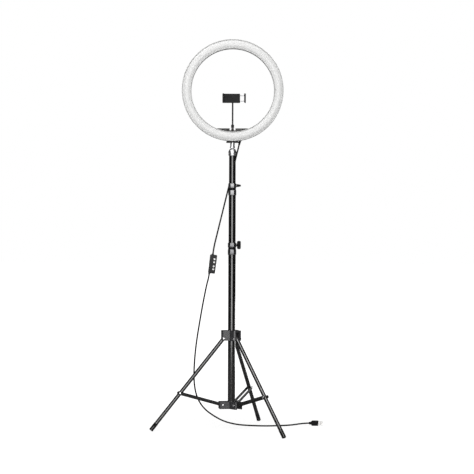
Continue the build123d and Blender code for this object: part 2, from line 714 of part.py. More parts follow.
def make_controller():
    width, depth, height = BOX_SIZE
    half = depth / 2
    place = box_place()
    front = box_half(-half, 0, -half + BOX_WALL, 1)
    for z in BUTTON_HEIGHTS:
        front -= rod(BUTTON_R + 0.25, (BUTTON_X, -half - 1, z), (BUTTON_X, -half + 2, z))
    screws_at = [(-7.5, 25), (-7.5, -25)]
    back = box_half(0, half, -1, half - BOX_WALL)
    for x, z in screws_at:
        back += rod(2.6, (x, 1, z), (x, half - 1, z))
        back -= rod(1.1, (x, 0, z), (x, half + 1, z))
    board = slab(RectangleRounded(width - 5, height - 14, 1.0), -1.2, 0.2)
    save("controller_front", place * front)
    save("controller_back", place * back)
    save("controller_board", place * board)
    for number, z in enumerate(BUTTON_HEIGHTS, 1):
        button = rod(BUTTON_R, (BUTTON_X, -half - 1.1, z), (BUTTON_X, -half + 2.6, z))
        button = fillet(button.edges().filter_by(GeomType.CIRCLE).group_by(Axis.Y)[0], 0.7)
        button += rod(BUTTON_R + 1.0, (BUTTON_X, -half + 1.7, z), (BUTTON_X, -half + 2.6, z))
        save(f"button_{number}", place * button)


# ---- cord and plug ------------------------------------------------------------

def box_side():
    return Vector(cos(radians(BOX_LEAN)), 0, -sin(radians(BOX_LEAN)))


def box_entry():
    return Vector(*BOX_TOP) + box_side() * CORD_IN_X


def box_exit():
    return Vector(*BOX_TOP) + box_side() * CORD_OUT_X + box_down() * BOX_SIZE[2]


def lead_in_point():
    return box_entry() - box_down() * LEAD_IN


def upper_line(distance):
    """A point on the straight upper cord, from the top of its strain relief."""
    start = Vector(*GLAND_TOP)
    return start + (lead_in_point() - start).normalized() * distance


def corner_radii(points):
    """Each corner's arc is as large as its two runs allow."""
    radii = []
    for before, corner, after in zip(points, points[1:], points[2:]):
        first, second = corner - before, after - corner
        turn = radians(first.get_angle(second))
        radii.append(0.45 * min(first.length, second.length) / tan(turn / 2))
    return radii


def cord_tube(name, points):
    points = [Vector(*point) if isinstance(point, tuple) else point for point in points]
    if len(points) == 2:
        path = Line(*points)
    else:
        radii = corner_radii(points)
        print(name, "radii", [round(radius, 1) for radius in radii])
        path = FilletPolyline(*points, radius=radii)
    section = Plane(origin=path @ 0, z_dir=path % 0) * Circle(CORD_R)
    tube = sweep(section, path=path)
    print(name, "length", round(path.length, 1), "volume / (section x length)",
          round(tube.volume / (pi * CORD_R ** 2 * path.length), 4))
    save(name, tube)


def cord_gland():
    end = upper_line(GLAND_LENGTH)
    relief = rod(GLAND_R[0], upper_line(1.2), end, GLAND_R[1])
    neck = upright(GLAND_R[0], GLAND_TOP[2] - 2.4, GLAND_TOP[2] + 3.8, GLAND_TOP[0], GLAND_TOP[1])
    for step in range(3):
        start = 5.0 + 4.0 * step
        relief -= rod(6, upper_line(start), upper_line(start + 1.2)) - rod(
            3.3, upper_line(start - 1), upper_line(start + 2))
    return relief + neck


def usb_body():
    x, y, z = PLUG
    half = PLUG_HEIGHT / 2
    end = PLUG_LENGTH
    outline = Polyline(
        (0, -3.6), (6, -4.4), (11, -half), (end, -half), (end, half), (11, half), (6, 4.4), (0, 3.6),
        close=True)
    depth = PLUG_DEPTH / 2
    body = slab(make_face(outline), y - depth, y + depth, x=x, z=z)
    faces = body.faces().sort_by(Axis.Y)
    return chamfer(faces[0].edges() + faces[-1].edges(), 1.2)


def usb_shell():
    x, y, z = PLUG
    x += PLUG_LENGTH
    half_z, half_y, wall = SHELL_HEIGHT / 2, SHELL_DEPTH / 2, 0.35
    shell = block((x, x + SHELL_LENGTH), (y - half_y, y + half_y), (z - half_z, z + half_z))
    inside = block(
        (x - 1, x + SHELL_LENGTH + 1), (y - half_y + wall, y + half_y - wall),
        (z - half_z + wall, z + half_z - wall))
    shell -= inside
    for side in (-1, 1):
        z_mid = z + side * 2.9
        shell -= block((x + 6.5, x + 9.0), (y - 5, y + 5), (z_mid - 1.1, z_mid + 1.1))
    return shell


def make_cord():
    save("cord_gland", cord_gland())
    first = GLAND_LENGTH
    second = first + HEAD_CORD
    third = second + NECK_CORD
    cord_tube("cord_head", [upper_line(first), upper_line(second)])
    cord_tube("cord_neck", [upper_line(second), upper_line(third)])
    cord_tube("cord_upper", [upper_line(third), lead_in_point(), box_entry()])
    lead_out = box_exit() + box_down() * LEAD_OUT
    cord_tube("cord_lower", [box_exit(), lead_out, *LONG_ROUTE, PLUG])
    print("upper cord", [tuple(round(v, 2) for v in point) for point in (
        upper_line(0), upper_line(second), upper_line(third), lead_in_point(), box_entry())])
    print("lower cord", [tuple(round(v, 2) for v in point) for point in (box_exit(), lead_out)])
    save("usb_body", usb_body())
    save("usb_shell", usb_shell())


def print_fold():
    """The fold's travel and angles, worked out from the three pivots of a leg."""
    leg = hypot(JOINT_PIVOT[0] - LEG_PIVOT[0], JOINT_PIVOT[1] - LEG_PIVOT[1])
    brace = hypot(JOINT_PIVOT[0] - BRACE_PIVOT[0], JOINT_PIVOT[1] - BRACE_PIVOT[1])
    across = LEG_PIVOT[0] - BRACE_PIVOT[0]
    rise = sqrt(brace ** 2 - across ** 2)
    travel = rise + BRACE_PIVOT[1] + leg - LEG_PIVOT[1]
    leg_turn = degrees(atan2(JOINT_PIVOT[0] - LEG_PIVOT[0], LEG_PIVOT[1] - JOINT_PIVOT[1]))
    start = atan2(JOINT_PIVOT[1] - BRACE_PIVOT[1], JOINT_PIVOT[0] - BRACE_PIVOT[0])
    brace_turn = degrees(atan2(rise, across) - start)
    print("fold travel", round(travel, 3), "leg turn", round(leg_turn, 3), "brace turn", round(brace_turn, 3))


make_mast()
make_tripod()
make_head()
make_ring()
make_phone_holder()
make_controller()
make_cord()
print_fold()
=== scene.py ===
import json
from math import cos, pi, radians, sin

import bmesh
import bpy
from mathutils import Matrix, Vector

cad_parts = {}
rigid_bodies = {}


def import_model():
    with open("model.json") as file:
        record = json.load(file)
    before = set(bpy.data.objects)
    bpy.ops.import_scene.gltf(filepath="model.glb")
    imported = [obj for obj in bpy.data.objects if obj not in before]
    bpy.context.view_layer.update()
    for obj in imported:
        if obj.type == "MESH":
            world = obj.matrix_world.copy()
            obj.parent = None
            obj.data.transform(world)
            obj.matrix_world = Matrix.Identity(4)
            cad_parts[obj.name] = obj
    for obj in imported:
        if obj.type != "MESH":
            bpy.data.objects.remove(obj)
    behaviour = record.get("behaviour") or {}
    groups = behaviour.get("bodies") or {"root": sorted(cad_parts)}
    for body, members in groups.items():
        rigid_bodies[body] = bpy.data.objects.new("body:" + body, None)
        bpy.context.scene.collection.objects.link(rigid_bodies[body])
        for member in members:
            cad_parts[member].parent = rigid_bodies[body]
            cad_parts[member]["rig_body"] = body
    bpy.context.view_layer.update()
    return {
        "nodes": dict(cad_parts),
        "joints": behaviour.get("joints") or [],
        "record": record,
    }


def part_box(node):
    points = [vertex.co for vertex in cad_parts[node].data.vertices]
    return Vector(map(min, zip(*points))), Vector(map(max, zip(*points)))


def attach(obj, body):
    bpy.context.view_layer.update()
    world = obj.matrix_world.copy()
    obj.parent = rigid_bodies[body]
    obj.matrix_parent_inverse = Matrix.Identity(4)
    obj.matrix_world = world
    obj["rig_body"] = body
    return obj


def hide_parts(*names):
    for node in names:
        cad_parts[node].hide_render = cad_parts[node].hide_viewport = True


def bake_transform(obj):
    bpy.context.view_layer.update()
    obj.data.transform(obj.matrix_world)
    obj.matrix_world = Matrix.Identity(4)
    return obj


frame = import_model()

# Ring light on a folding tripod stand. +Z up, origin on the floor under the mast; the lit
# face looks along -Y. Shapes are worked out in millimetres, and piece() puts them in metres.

bl_info = {
    "name": "Ring Light Studio",
    "version": (1, 0, 0),
    "blender": (4, 5, 0),
    "location": "3D View > Sidebar > Ring Light",
    "description": "Builds the looks of a ring light on its stand around its packed frame",
    "category": "Object",
}

MM = 0.001
NODES = frame["nodes"]
LEGS = ("left", "right", "back")


# ---- places read from the frame ----

def joint(name):
    return next(j for j in frame["joints"] if j["name"] == name)


def coupling(name):
    couplings = frame["record"]["behaviour"]["couplings"]
    return next(c for c in couplings if c["joint"] == name)


def spot(name):
    """The point that a joint turns about, in millimetres."""
    return Vector(joint(name)["pos_m"]) / MM


def box(node):
    """The lowest and highest corners of a CAD node, in millimetres."""
    low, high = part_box(node)
    return low / MM, high / MM


def middle(node):
    low, high = box(node)
    return (low + high) / 2


def body_of(node):
    return NODES[node]["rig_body"]


RING_CENTRE = middle("front_diffuser")
RING_LOW, RING_HIGH = box("front_diffuser")
SHELL_OUT = (RING_HIGH.z - RING_LOW.z) / 2 + 2.4
SHELL_IN = SHELL_OUT - 30.5
SHELL_FRONT, SHELL_BACK = -13.0, 13.0
LEG_LEAN = coupling("leg_left_fold")["ratio"] * joint("fold_slide")["range_m"][1]
BOX_LEAN = radians(7.0)


# ---- sizes and colours a user may change ----

def length(name, text, default, least=0.0):
    return bpy.props.FloatProperty(
        name=name, description=text, default=default, min=least, unit="LENGTH")


def tint(name, text, default):
    return bpy.props.FloatVectorProperty(
        name=name, description=text, subtype="COLOR", default=default, min=0.0, max=1.0)


class RINGLIGHT_PG_sizes(bpy.types.PropertyGroup):
    """Sizes of the looks, in metres; the frame keeps its own."""
    tube_wall: length("Tube Wall", "Wall of the mast's tubes", 0.5 * MM)
    foot_rib: length("Foot Rib", "Depth of the grooves round each rubber foot", 0.35 * MM)
    cord: length("Cord Diameter", "Outer diameter of the cord", 5.0 * MM, 0.001)
    camera_height: length("Camera Height", "Height of the level camera", 0.627)
    camera_distance: length(
        "Camera Distance", "How far in front of the mast the camera stands", 4.86, 0.1)


class RINGLIGHT_PG_colours(bpy.types.PropertyGroup):
    """Main colours of the finishes, as linear light."""
    mast: tint("Mast", "Gloss paint of the mast", (0.003, 0.003, 0.0032))
    leg: tint("Legs", "Gloss paint of the legs", (0.003, 0.003, 0.0032))
    shell: tint("Shell", "Moulded shell of the ring", (0.53, 0.53, 0.525))
    diffuser: tint("Diffuser", "Milky front of the ring", (0.76, 0.76, 0.755))
    plastic: tint("Black Plastic", "Moulded hubs, clamp and controller", (0.012, 0.012, 0.013))
    chrome: tint("Bright Metal", "Plated collar, head and rivets", (0.80, 0.80, 0.81))


class Maker:
    """What the operators share: each one builds a group of pieces."""

    def execute(self, context):
        self.build()
        return {"FINISHED"}


def sizes():
    return bpy.context.scene.ringlight_sizes


def colours():
    return bpy.context.scene.ringlight_colours


# ---- shader groups ----

def new_group(name, inputs, outputs):
    """An empty shader group with named value sockets."""
    group = bpy.data.node_groups.new(name, "ShaderNodeTree")
    for label, default in inputs:
        socket = group.interface.new_socket(
            name=label, in_out="INPUT", socket_type="NodeSocketFloat")
        socket.default_value = default
    for label in outputs:
        group.interface.new_socket(name=label, in_out="OUTPUT", socket_type="NodeSocketFloat")
    return group, group.nodes.new("NodeGroupInput"), group.nodes.new("NodeGroupOutput")


def put(tree, value, socket):
    """Links another node's output, or sets a plain value."""
    if isinstance(value, bpy.types.NodeSocket):
        tree.links.new(value, socket)
    else:
        socket.default_value = value


def maths(tree, operation, first, second, clamp=False):
    node = tree.nodes.new("ShaderNodeMath")
    node.operation = operation
    node.use_clamp = clamp
    put(tree, first, node.inputs[0])
    put(tree, second, node.inputs[1])
    return node.outputs[0]


def remap(tree, value, low, high):
    node = tree.nodes.new("ShaderNodeMapRange")
    node.interpolation_type = "SMOOTHSTEP"
    tree.links.new(value, node.inputs["Value"])
    node.inputs["From Min"].default_value = low
    node.inputs["From Max"].default_value = high
    return node.outputs["Result"]


def noise(tree, vector, scale, detail=3.0, rough=0.55):
    node = tree.nodes.new("ShaderNodeTexNoise")
    tree.links.new(vector, node.inputs["Vector"])
    put(tree, scale, node.inputs["Scale"])
    node.inputs["Detail"].default_value = detail
    node.inputs["Roughness"].default_value = rough
    return node.outputs["Fac"]


def object_point(tree):
    return tree.nodes.new("ShaderNodeTexCoord").outputs["Object"]


def stretched(tree, vector, scale):
    node = tree.nodes.new("ShaderNodeMapping")
    node.inputs["Scale"].default_value = scale
    tree.links.new(vector, node.inputs["Vector"])
    return node.outputs["Vector"]


def make_grain_group():
    """Fine surface grain as a height, and a slow mottle of the colour."""
    group, given, out = new_group(
        "Fine Grain", [("Scale", 900.0), ("Slow Scale", 14.0)], ["Height", "Mottle"])
    point = object_point(group)
    fine = noise(group, point, given.outputs["Scale"], 4.0)
    coarse = noise(group, point, maths(group, "MULTIPLY", given.outputs["Scale"], 0.23), 2.0)
    height = maths(group, "ADD", fine, maths(group, "MULTIPLY", coarse, 0.6))
    group.links.new(height, out.inputs["Height"])
    group.links.new(noise(group, point, given.outputs["Slow Scale"], 3.0), out.inputs["Mottle"])


def put_out_mask(group, given, out, first, second):
    """The product of two masks and the group's amount, as what it puts out."""
    both = maths(group, "MULTIPLY", first, second)
    mask = maths(group, "MULTIPLY", both, given.outputs["Amount"], True)
    group.links.new(mask, out.inputs["Mask"])


def make_wear_group():
    """Rubbed edges: sharp outward edges, broken up by noise."""
    group, given, out = new_group("Rubbed Edges", [("Amount", 0.5), ("Break Up", 160.0)], ["Mask"])
    geometry = group.nodes.new("ShaderNodeNewGeometry")
    edge = remap(group, geometry.outputs["Pointiness"], 0.53, 0.62)
    speckle = noise(group, object_point(group), given.outputs["Break Up"], 5.0, 0.7)
    put_out_mask(group, given, out, edge, remap(group, speckle, 0.42, 0.62))


def make_dust_group():
    """A thin film of dust on faces that look up."""
    group, given, out = new_group("Settled Dust", [("Amount", 0.2)], ["Mask"])
    split = group.nodes.new("ShaderNodeSeparateXYZ")
    geometry = group.nodes.new("ShaderNodeNewGeometry")
    group.links.new(geometry.outputs["Normal"], split.inputs[0])
    up = remap(group, split.outputs["Z"], 0.35, 1.0)
    cloud = remap(group, noise(group, object_point(group), 65.0, 5.0, 0.65), 0.35, 0.75)
    put_out_mask(group, given, out, up, cloud)


def make_rub_group():
    """Long faint rub marks, drawn out along the mast."""
    group, given, out = new_group("Rub Marks", [("Amount", 0.3)], ["Mask"])
    point = stretched(group, object_point(group), (1.0, 1.0, 0.035))
    lines = remap(group, noise(group, point, 900.0, 2.0, 0.4), 0.60, 0.74)
    patch = remap(group, noise(group, object_point(group), 9.0, 3.0), 0.45, 0.65)
    put_out_mask(group, given, out, lines, patch)


# ---- materials ----

def use_group(tree, name, **values):
    node = tree.nodes.new("ShaderNodeGroup")
    node.node_tree = bpy.data.node_groups[name]
    for label, value in values.items():
        node.inputs[label.replace("_", " ")].default_value = value
    return node


def colour_mix(tree, mask, first, second):
    """first where the mask is 0, second where it is 1; each is a colour or a socket."""
    node = tree.nodes.new("ShaderNodeMix")
    node.data_type = "RGBA"
    tree.links.new(mask, node.inputs[0])
    for index, value in ((6, first), (7, second)):
        put(tree, (*value, 1.0) if isinstance(value, tuple) else value, node.inputs[index])
    return node.outputs[2]


def shade(colour, factor):
    return tuple(min(1.0, channel * factor) for channel in colour)


def blank_material(name):
    material = bpy.data.materials.new(name)
    material.use_nodes = True
    tree = material.node_tree
    return material, tree, tree.nodes["Principled BSDF"]


def bump(tree, shader, height, distance):
    node = tree.nodes.new("ShaderNodeBump")
    node.inputs["Strength"].default_value = 1.0
    node.inputs["Distance"].default_value = distance * MM
    tree.links.new(height, node.inputs["Height"])
    tree.links.new(node.outputs["Normal"], shader.inputs["Normal"])


def surface(name, colour, roughness, variation=0.18, grain=(900.0, 0.03), worn=None, wear=0.0,
            dust=0.06, rubs=0.0, spread=0.08, **inputs):
    """The base that the finishes share: mottled colour, rubbed edges, dust and grain."""
    material, tree, shader = blank_material(name)
    fine = use_group(tree, "Fine Grain", Scale=grain[0])
    mottle = fine.outputs["Mottle"]
    tone = colour_mix(tree, mottle, shade(colour, 1 - variation), shade(colour, 1 + variation))
    rough = maths(tree, "ADD", maths(tree, "MULTIPLY", mottle, spread), roughness - spread / 2)
    if worn is not None:
        edges = use_group(tree, "Rubbed Edges", Amount=wear)
        tone = colour_mix(tree, edges.outputs["Mask"], tone, worn)
    if rubs:
        marks = use_group(tree, "Rub Marks", Amount=rubs)
        rough = maths(tree, "ADD", rough, maths(tree, "MULTIPLY", marks.outputs["Mask"], 0.35))
    if dust:
        film = use_group(tree, "Settled Dust", Amount=dust).outputs["Mask"]
        tone = colour_mix(tree, film, tone, (0.30, 0.29, 0.27))
        rough = maths(tree, "ADD", rough, maths(tree, "MULTIPLY", film, 0.5), True)
    tree.links.new(tone, shader.inputs["Base Color"])
    tree.links.new(rough, shader.inputs["Roughness"])
    for label, value in inputs.items():
        shader.inputs[label.replace("_", " ")].default_value = value
    bump(tree, shader, fine.outputs["Height"], grain[1])
    return material


def gloss_paint(name, colour, roughness=0.12, rubs=0.2):
    """Thick glossy stoved paint with a little orange peel."""
    return surface(
        name, colour, roughness, grain=(260.0, 0.003), worn=(0.16, 0.15, 0.14), wear=0.25,
        rubs=rubs, dust=0.05, spread=0.05, Specular_IOR_Level=0.85, Coat_Weight=0.5,
        Coat_Roughness=0.10)


def satin_paint(name, colour):
    return surface(
        name, colour, 0.38, grain=(700.0, 0.03), worn=(0.33, 0.32, 0.31), wear=0.45,
        dust=0.07, variation=0.10, Specular_IOR_Level=0.18)


def moulded(name, colour, roughness=0.46, grain=0.05, wear=0.3, shine=0.5):
    """Moulded plastic with the fine texture of its tool."""
    return surface(
        name, colour, roughness, grain=(1500.0, grain), worn=shade(colour, 5.0), wear=wear,
        dust=0.06, variation=0.14, Specular_IOR_Level=shine)


def bright_plate(name, colour, roughness=0.12, grain=0.01):
    """Polished plating with faint polishing marks and a little tarnish."""
    return surface(
        name, colour, roughness, grain=(420.0, grain), dust=0.08, variation=0.06, rubs=0.3,
        spread=0.10, Metallic=1.0)


def turned_metal(name, colour, axis_scale, roughness=0.22):
    """Turned and plated metal, with the fine rings that the tool leaves."""
    material = surface(name, colour, roughness, dust=0.06, variation=0.05, Metallic=1.0)
    tree = material.node_tree
    lines = noise(tree, stretched(tree, object_point(tree), axis_scale), 240.0, 2.0, 0.5)
    bump(tree, tree.nodes["Principled BSDF"], lines, 0.02)
    return material


def make_materials():
    """One finish for each material slot of the record."""
    plastic, chrome = tuple(colours().plastic), tuple(colours().chrome)
    return {
        "mast_black": gloss_paint("Mast Gloss", tuple(colours().mast)),
        "leg_black": gloss_paint("Leg Gloss", tuple(colours().leg), 0.14, 0.3),
        "strip_black": satin_paint("Brace Satin", (0.014, 0.014, 0.014)),
        "bracket_black": satin_paint("Bracket Satin", (0.010, 0.010, 0.010)),
        "arm_black": satin_paint("Arm Satin", (0.010, 0.010, 0.010)),
        "arm_steel": satin_paint("Post Oxide", (0.028, 0.024, 0.021)),
        "collar_grey": bright_plate("Cast Collar", (0.19, 0.19, 0.195), 0.42, 0.04),
        "collar_silver": bright_plate("Plated Collar", shade(chrome, 0.34), 0.42, 0.03),
        "head_silver": turned_metal("Turned Head", chrome, (1.0, 1.0, 24.0), 0.38),
        "rivet_chrome": bright_plate("Rivet Plate", chrome, 0.15),
        "screw_steel": turned_metal(
            "Zinc Screw", (0.50, 0.50, 0.51), (1.0, 20.0, 1.0), 0.3),
        "usb_metal": turned_metal(
            "Nickel Shell", (0.90, 0.89, 0.87), (18.0, 1.0, 1.0), 0.45),
        "hub_black": moulded("Hub Plastic", shade(plastic, 3.0), 0.32, 0.05, shine=1.0),
        "knob_black": moulded("Knob Black", shade(plastic, 0.5), 0.45, shine=0.1),
        "clamp_black": moulded("Clamp Plastic", shade(plastic, 0.5), 0.42, shine=0.12),
        "box_black": moulded("Controller Plastic", shade(plastic, 0.8), 0.4, shine=0.22),
        "plug_black": moulded("Plug Plastic", shade(plastic, 0.5), 0.38, shine=0.15),
        "button_white": moulded("Button White", (0.78, 0.78, 0.77), 0.35, 0.02, 0.0),
        "shell_white": surface(
            "Shell White", tuple(colours().shell), 0.36, variation=0.03, grain=(1900.0, 0.03),
            worn=(0.42, 0.42, 0.41), wear=0.15, dust=0.08, Specular_IOR_Level=0.55),
        "diffuser_white": surface(
            "Milky Diffuser", tuple(colours().diffuser), 0.34, variation=0.015,
            grain=(2600.0, 0.05), dust=0.0, spread=0.04, Subsurface_Weight=0.25,
            Subsurface_Radius=(0.004, 0.004, 0.004), Subsurface_Scale=1.0),
        "board_white": moulded("Board Mask White", (0.80, 0.80, 0.77), 0.3, 0.01, 0.0),
        "board_green": moulded("Board Mask Green", (0.015, 0.11, 0.035), 0.3, 0.01, 0.0),
        "chip_yellow": surface(
            "Chip Phosphor", (0.80, 0.62, 0.16), 0.5, grain=(2400.0, 0.02), dust=0.0),
        "cord_black": surface(
            "Cord Sheath", (0.003, 0.003, 0.003), 0.42, grain=(800.0, 0.03), dust=0.2,
            variation=0.25, Specular_IOR_Level=0.1),
        "pad_rubber": surface(
            "Pad Rubber", (0.012, 0.012, 0.012), 0.72, grain=(1300.0, 0.06),
            worn=(0.10, 0.10, 0.10), wear=0.4, dust=0.45, Specular_IOR_Level=0.3),
        "foot_rubber": moulded("Foot Rubber", (0.003, 0.003, 0.003), 0.2, 0.01, 0.2, shine=0.7),
    }


FINISH = {}


# ---- mesh helpers ----

def add_object(name, data):
    made = bpy.data.objects.new(name, data)
    bpy.context.scene.collection.objects.link(made)
    return made


def to_axis(origin, direction):
    """The place that takes +Z at the origin to a direction at a point."""
    turn = Vector(direction).to_track_quat("Z", "Y").to_matrix().to_4x4()
    return Matrix.Translation(Vector(origin)) @ turn


def lathe(profile, steps=64, place=None, closed=True):
    """An outline of (radius, height) spun about +Z, then put in its place."""
    bm = bmesh.new()
    verts = [bm.verts.new((radius, 0.0, height)) for radius, height in profile]
    pairs = list(zip(verts, verts[1:]))
    if closed:
        pairs.append((verts[-1], verts[0]))
    edges = [bm.edges.new(pair) for pair in pairs]
    bmesh.ops.spin(
        bm, geom=verts + edges, cent=(0, 0, 0), axis=(0, 0, 1), angle=2 * pi, steps=steps,
        use_merge=True)
    bmesh.ops.remove_doubles(bm, verts=bm.verts, dist=1e-4)
    if place is not None:
        bmesh.ops.transform(bm, matrix=place, verts=bm.verts)
    return bm


def rod(radius, start, end, steps, place):
    """A solid round bar along +Z of its place."""
    profile = [(0, start), (radius, start), (radius, end), (0, end)]
    return lathe(profile, steps, place, closed=False)


def sleeve(inner, outer, start, end, steps, place=None):
    """A short pipe along +Z of its place."""
    return lathe([(inner, start), (outer, start), (outer, end), (inner, end)], steps, place)


def clamping_screw(start, end, steps, place):
    """A screw's shank with a small chamfer at its tip."""
    radius, tip, chamfer = 2.5, 2.2, 0.5
    profile = [(0, start), (tip, start), (radius, start + chamfer), (radius, end), (0, end)]
    return lathe(profile, steps, place, closed=False)


def thicken(bm, height):
    """Extrudes all faces up along +Z, and returns the top's vertices."""
    made = bmesh.ops.extrude_face_region(bm, geom=bm.faces[:])
    top = [item for item in made["geom"] if isinstance(item, bmesh.types.BMVert)]
    bmesh.ops.translate(bm, vec=(0, 0, height), verts=top)
    return top


def rounded_plate(corners, thickness, radius, place, segments=6):
    """A flat outline in X and Y with rounded corners, thickened up along +Z."""
    bm = bmesh.new()
    bm.faces.new([bm.verts.new((x, y, 0.0)) for x, y in corners])
    if radius:
        bmesh.ops.bevel(
            bm, geom=bm.verts[:], offset=radius, offset_type="OFFSET", segments=segments,
            profile=0.5, affect="VERTICES", material=-1)
    thicken(bm, thickness)
    bmesh.ops.transform(bm, matrix=place, verts=bm.verts)
    return bm


def rectangle(width, height):
    x, y = width / 2, height / 2
    return [(-x, -y), (x, -y), (x, y), (-x, y)]


def add_to(bm, other):
    """Moves one bmesh's shells into another."""
    mesh = bpy.data.meshes.new("shells")
    other.to_mesh(mesh)
    other.free()
    bm.from_mesh(mesh)
    bpy.data.meshes.remove(mesh)


def piece(name, bm, slot, body, replaces=(), edge=None, smooth=34.0, scale=MM):
    """A finished piece in metres: its normals, finish, body and the nodes it stands for."""
    bmesh.ops.scale(bm, vec=(scale, scale, scale), verts=bm.verts)
    bmesh.ops.remove_doubles(bm, verts=bm.verts, dist=1e-6)
    bmesh.ops.dissolve_degenerate(bm, edges=bm.edges, dist=1e-7)
    bmesh.ops.recalc_face_normals(bm, faces=bm.faces)
    mesh = bpy.data.meshes.new(name)
    bm.to_mesh(mesh)
    bm.free()
    seat(name, mesh, slot, body, replaces, edge, smooth)


def seat(name, mesh, slot, body, replaces=(), edge=None, smooth=34.0):
    mesh.materials.clear()
    mesh.materials.append(FINISH[slot])
    mesh.shade_smooth()
    mesh.set_sharp_from_angle(angle=radians(smooth))
    made = add_object(name, mesh)
    if edge:
        rounding = made.modifiers.new("Edge Rounding", "BEVEL")
        rounding.width = edge * MM
        rounding.segments = 2
        rounding.limit_method = "ANGLE"
        rounding.angle_limit = radians(32)
        rounding.harden_normals = True
    if body:
        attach(made, body)
    if replaces:
        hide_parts(*replaces)
    return made


def welded_copy(node, name):
    """A CAD piece's own shape, welded into one skin."""
    bm = bmesh.new()
    bm.from_mesh(NODES[node].data)
    bmesh.ops.remove_doubles(bm, verts=bm.verts, dist=2e-6)
    bmesh.ops.dissolve_limit(
        bm, angle_limit=radians(0.5), verts=bm.verts, edges=bm.edges, delimit={"NORMAL"})
    mesh = bpy.data.meshes.new(name)
    bm.to_mesh(mesh)
    bm.free()
    for label in ("custom_normal", "UVMap"):
        if label in mesh.attributes:
            mesh.attributes.remove(mesh.attributes[label])
    return mesh


def refined(node, name, slot, edge):
    """A CAD piece's own shape, so that its edges can be rounded."""
    seat(name, welded_copy(node, name), slot, body_of(node), [node], edge)


def keep_node(node, slot):
    """A CAD piece that is shown as it is, in a better finish."""
    mesh_object = NODES[node]
    if not mesh_object.material_slots:
        mesh_object.data.materials.append(FINISH[slot])
    for place in mesh_object.material_slots:
        place.material = FINISH[slot]


# ---- cords ----

# The cord's route in millimetres, cut where it passes from one moving piece to the next.
UPPER_LINE = (Vector((25.5, 18.5, 944.0)), Vector((-59.67, 20.0, 592.19)))
BOX_TOP = Vector((-59.5, 20.0, 569.0))
BOX_DOWN = Vector((-sin(BOX_LEAN), 0.0, -cos(BOX_LEAN)))
BOX_SIDE = Vector((cos(BOX_LEAN), 0.0, -sin(BOX_LEAN)))
BOX_HEIGHT = 61.5
CORD_IN, CORD_OUT = -3.0, -7.0
BOX_ENTRY = BOX_TOP + BOX_SIDE * CORD_IN
BOX_EXIT = BOX_TOP + BOX_SIDE * CORD_OUT + BOX_DOWN * BOX_HEIGHT
LEAD_IN, LEAD_OUT = 40.0, 14.0
HEAD_START, NECK_START, UPPER_START = 18.0, 50.0, 96.0
PLUG = Vector((258.0, 116.5, 8.8))
LONG_ROUTE = [
    (-81.5, 21, 474), (-88.5, 24, 440), (-96.5, 28.5, 398), (-104, 34, 354),
    (-112, 40, 306), (-118.5, 47.5, 258), (-122.5, 55, 210), (-124, 62, 166),
    (-121, 69.5, 126), (-111, 78.5, 90), (-91, 89, 59), (-61, 97.5, 35),
    (-24, 104, 14.5), (18, 107, 4.1), (62, 96, 2.6), (108, 86, 2.6),
    (154, 94, 2.6), (200, 110, 2.9), (238, 116.5, 8.2),
]


def evenly(first, last, parts):
    """Points on the upper line, evenly spaced between two distances from its start."""
    start, end = UPPER_LINE
    along = (end - start).normalized()
    return [start + along * (first + (last - first) * step / parts) for step in range(parts + 1)]


def smooth_line(name, points, depth):
    """A curve object along a smooth line with the points as its controls."""
    curve = bpy.data.curves.new(name, "CURVE")
    curve.dimensions = "3D"
    curve.resolution_u = 16
    curve.bevel_depth = depth
    curve.bevel_resolution = 5
    curve.use_fill_caps = depth > 0
    spline = curve.splines.new("NURBS")
    spline.points.add(len(points) - 1)
    for control, point in zip(spline.points, points):
        control.co = (*point, 1.0)
    spline.order_u = 3
    spline.use_endpoint_u = True
    made = add_object(name, curve)
    return made


def cord_stretch(name, points, node):
    """One stretch of cord as a fixed tube along a smooth line through the points."""
    points = [point * MM for point in points]
    diameter = sizes().cord
    line = smooth_line("line", points, 0.0)
    tube = smooth_line("tube", points, diameter / 2)
    bpy.context.view_layer.update()
    graph = bpy.context.evaluated_depsgraph_get()
    centre = bpy.data.meshes.new_from_object(line.evaluated_get(graph))
    mesh = bpy.data.meshes.new_from_object(tube.evaluated_get(graph))
    mesh.name = name
    for old in (line, tube):
        bpy.data.objects.remove(old)
    made = seat(name, mesh, "cord_black", None, [node], smooth=60.0)
    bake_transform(made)


class RINGLIGHT_OT_cords(Maker, bpy.types.Operator):
    """The cord, from the ring to the controller and from the controller to the plug"""
    bl_idname = "ringlight.cords"
    bl_label = "Cords"

    def build(self):
        head = evenly(HEAD_START, NECK_START, 2)
        neck = evenly(NECK_START, UPPER_START, 2)
        straight = (UPPER_LINE[1] - UPPER_LINE[0]).length - LEAD_IN
        upper = evenly(UPPER_START, straight, 3) + [UPPER_LINE[1], BOX_ENTRY]
        lower = [BOX_EXIT, BOX_EXIT + BOX_DOWN * LEAD_OUT]
        lower += [Vector(point) for point in LONG_ROUTE] + [PLUG]
        cord_stretch(
            "cord_head_stretch", head, "cord_head")
        cord_stretch(
            "cord_neck_stretch", neck, "cord_neck")
        cord_stretch(
            "cord_upper_stretch", upper, "cord_upper")
        cord_stretch(
            "cord_lower_stretch", lower, "cord_lower")


# ---- mast ----

class RINGLIGHT_OT_mast(Maker, bpy.types.Operator):
    """Three telescoping tubes with rolled rims"""
    bl_idname = "ringlight.mast"
    bl_label = "Mast Tubes"

    def build(self):
        rim = 0.2
        for name in ("lower", "middle", "upper"):
            node = f"{name}_tube"
            low, high = box(node)
            outer = (high.x - low.x) / 2
            inner = outer - sizes().tube_wall / MM
            profile = [
                (inner, low.z), (outer - rim, low.z), (outer, low.z + rim), (outer, high.z - rim),
                (outer - rim, high.z), (inner, high.z),
            ]
            piece(f"{name}_mast_tube", lathe(profile, 96), "mast_black", body_of(node), [node])
        refined("top_stud", "top_plug", "screw_steel", 0.2)


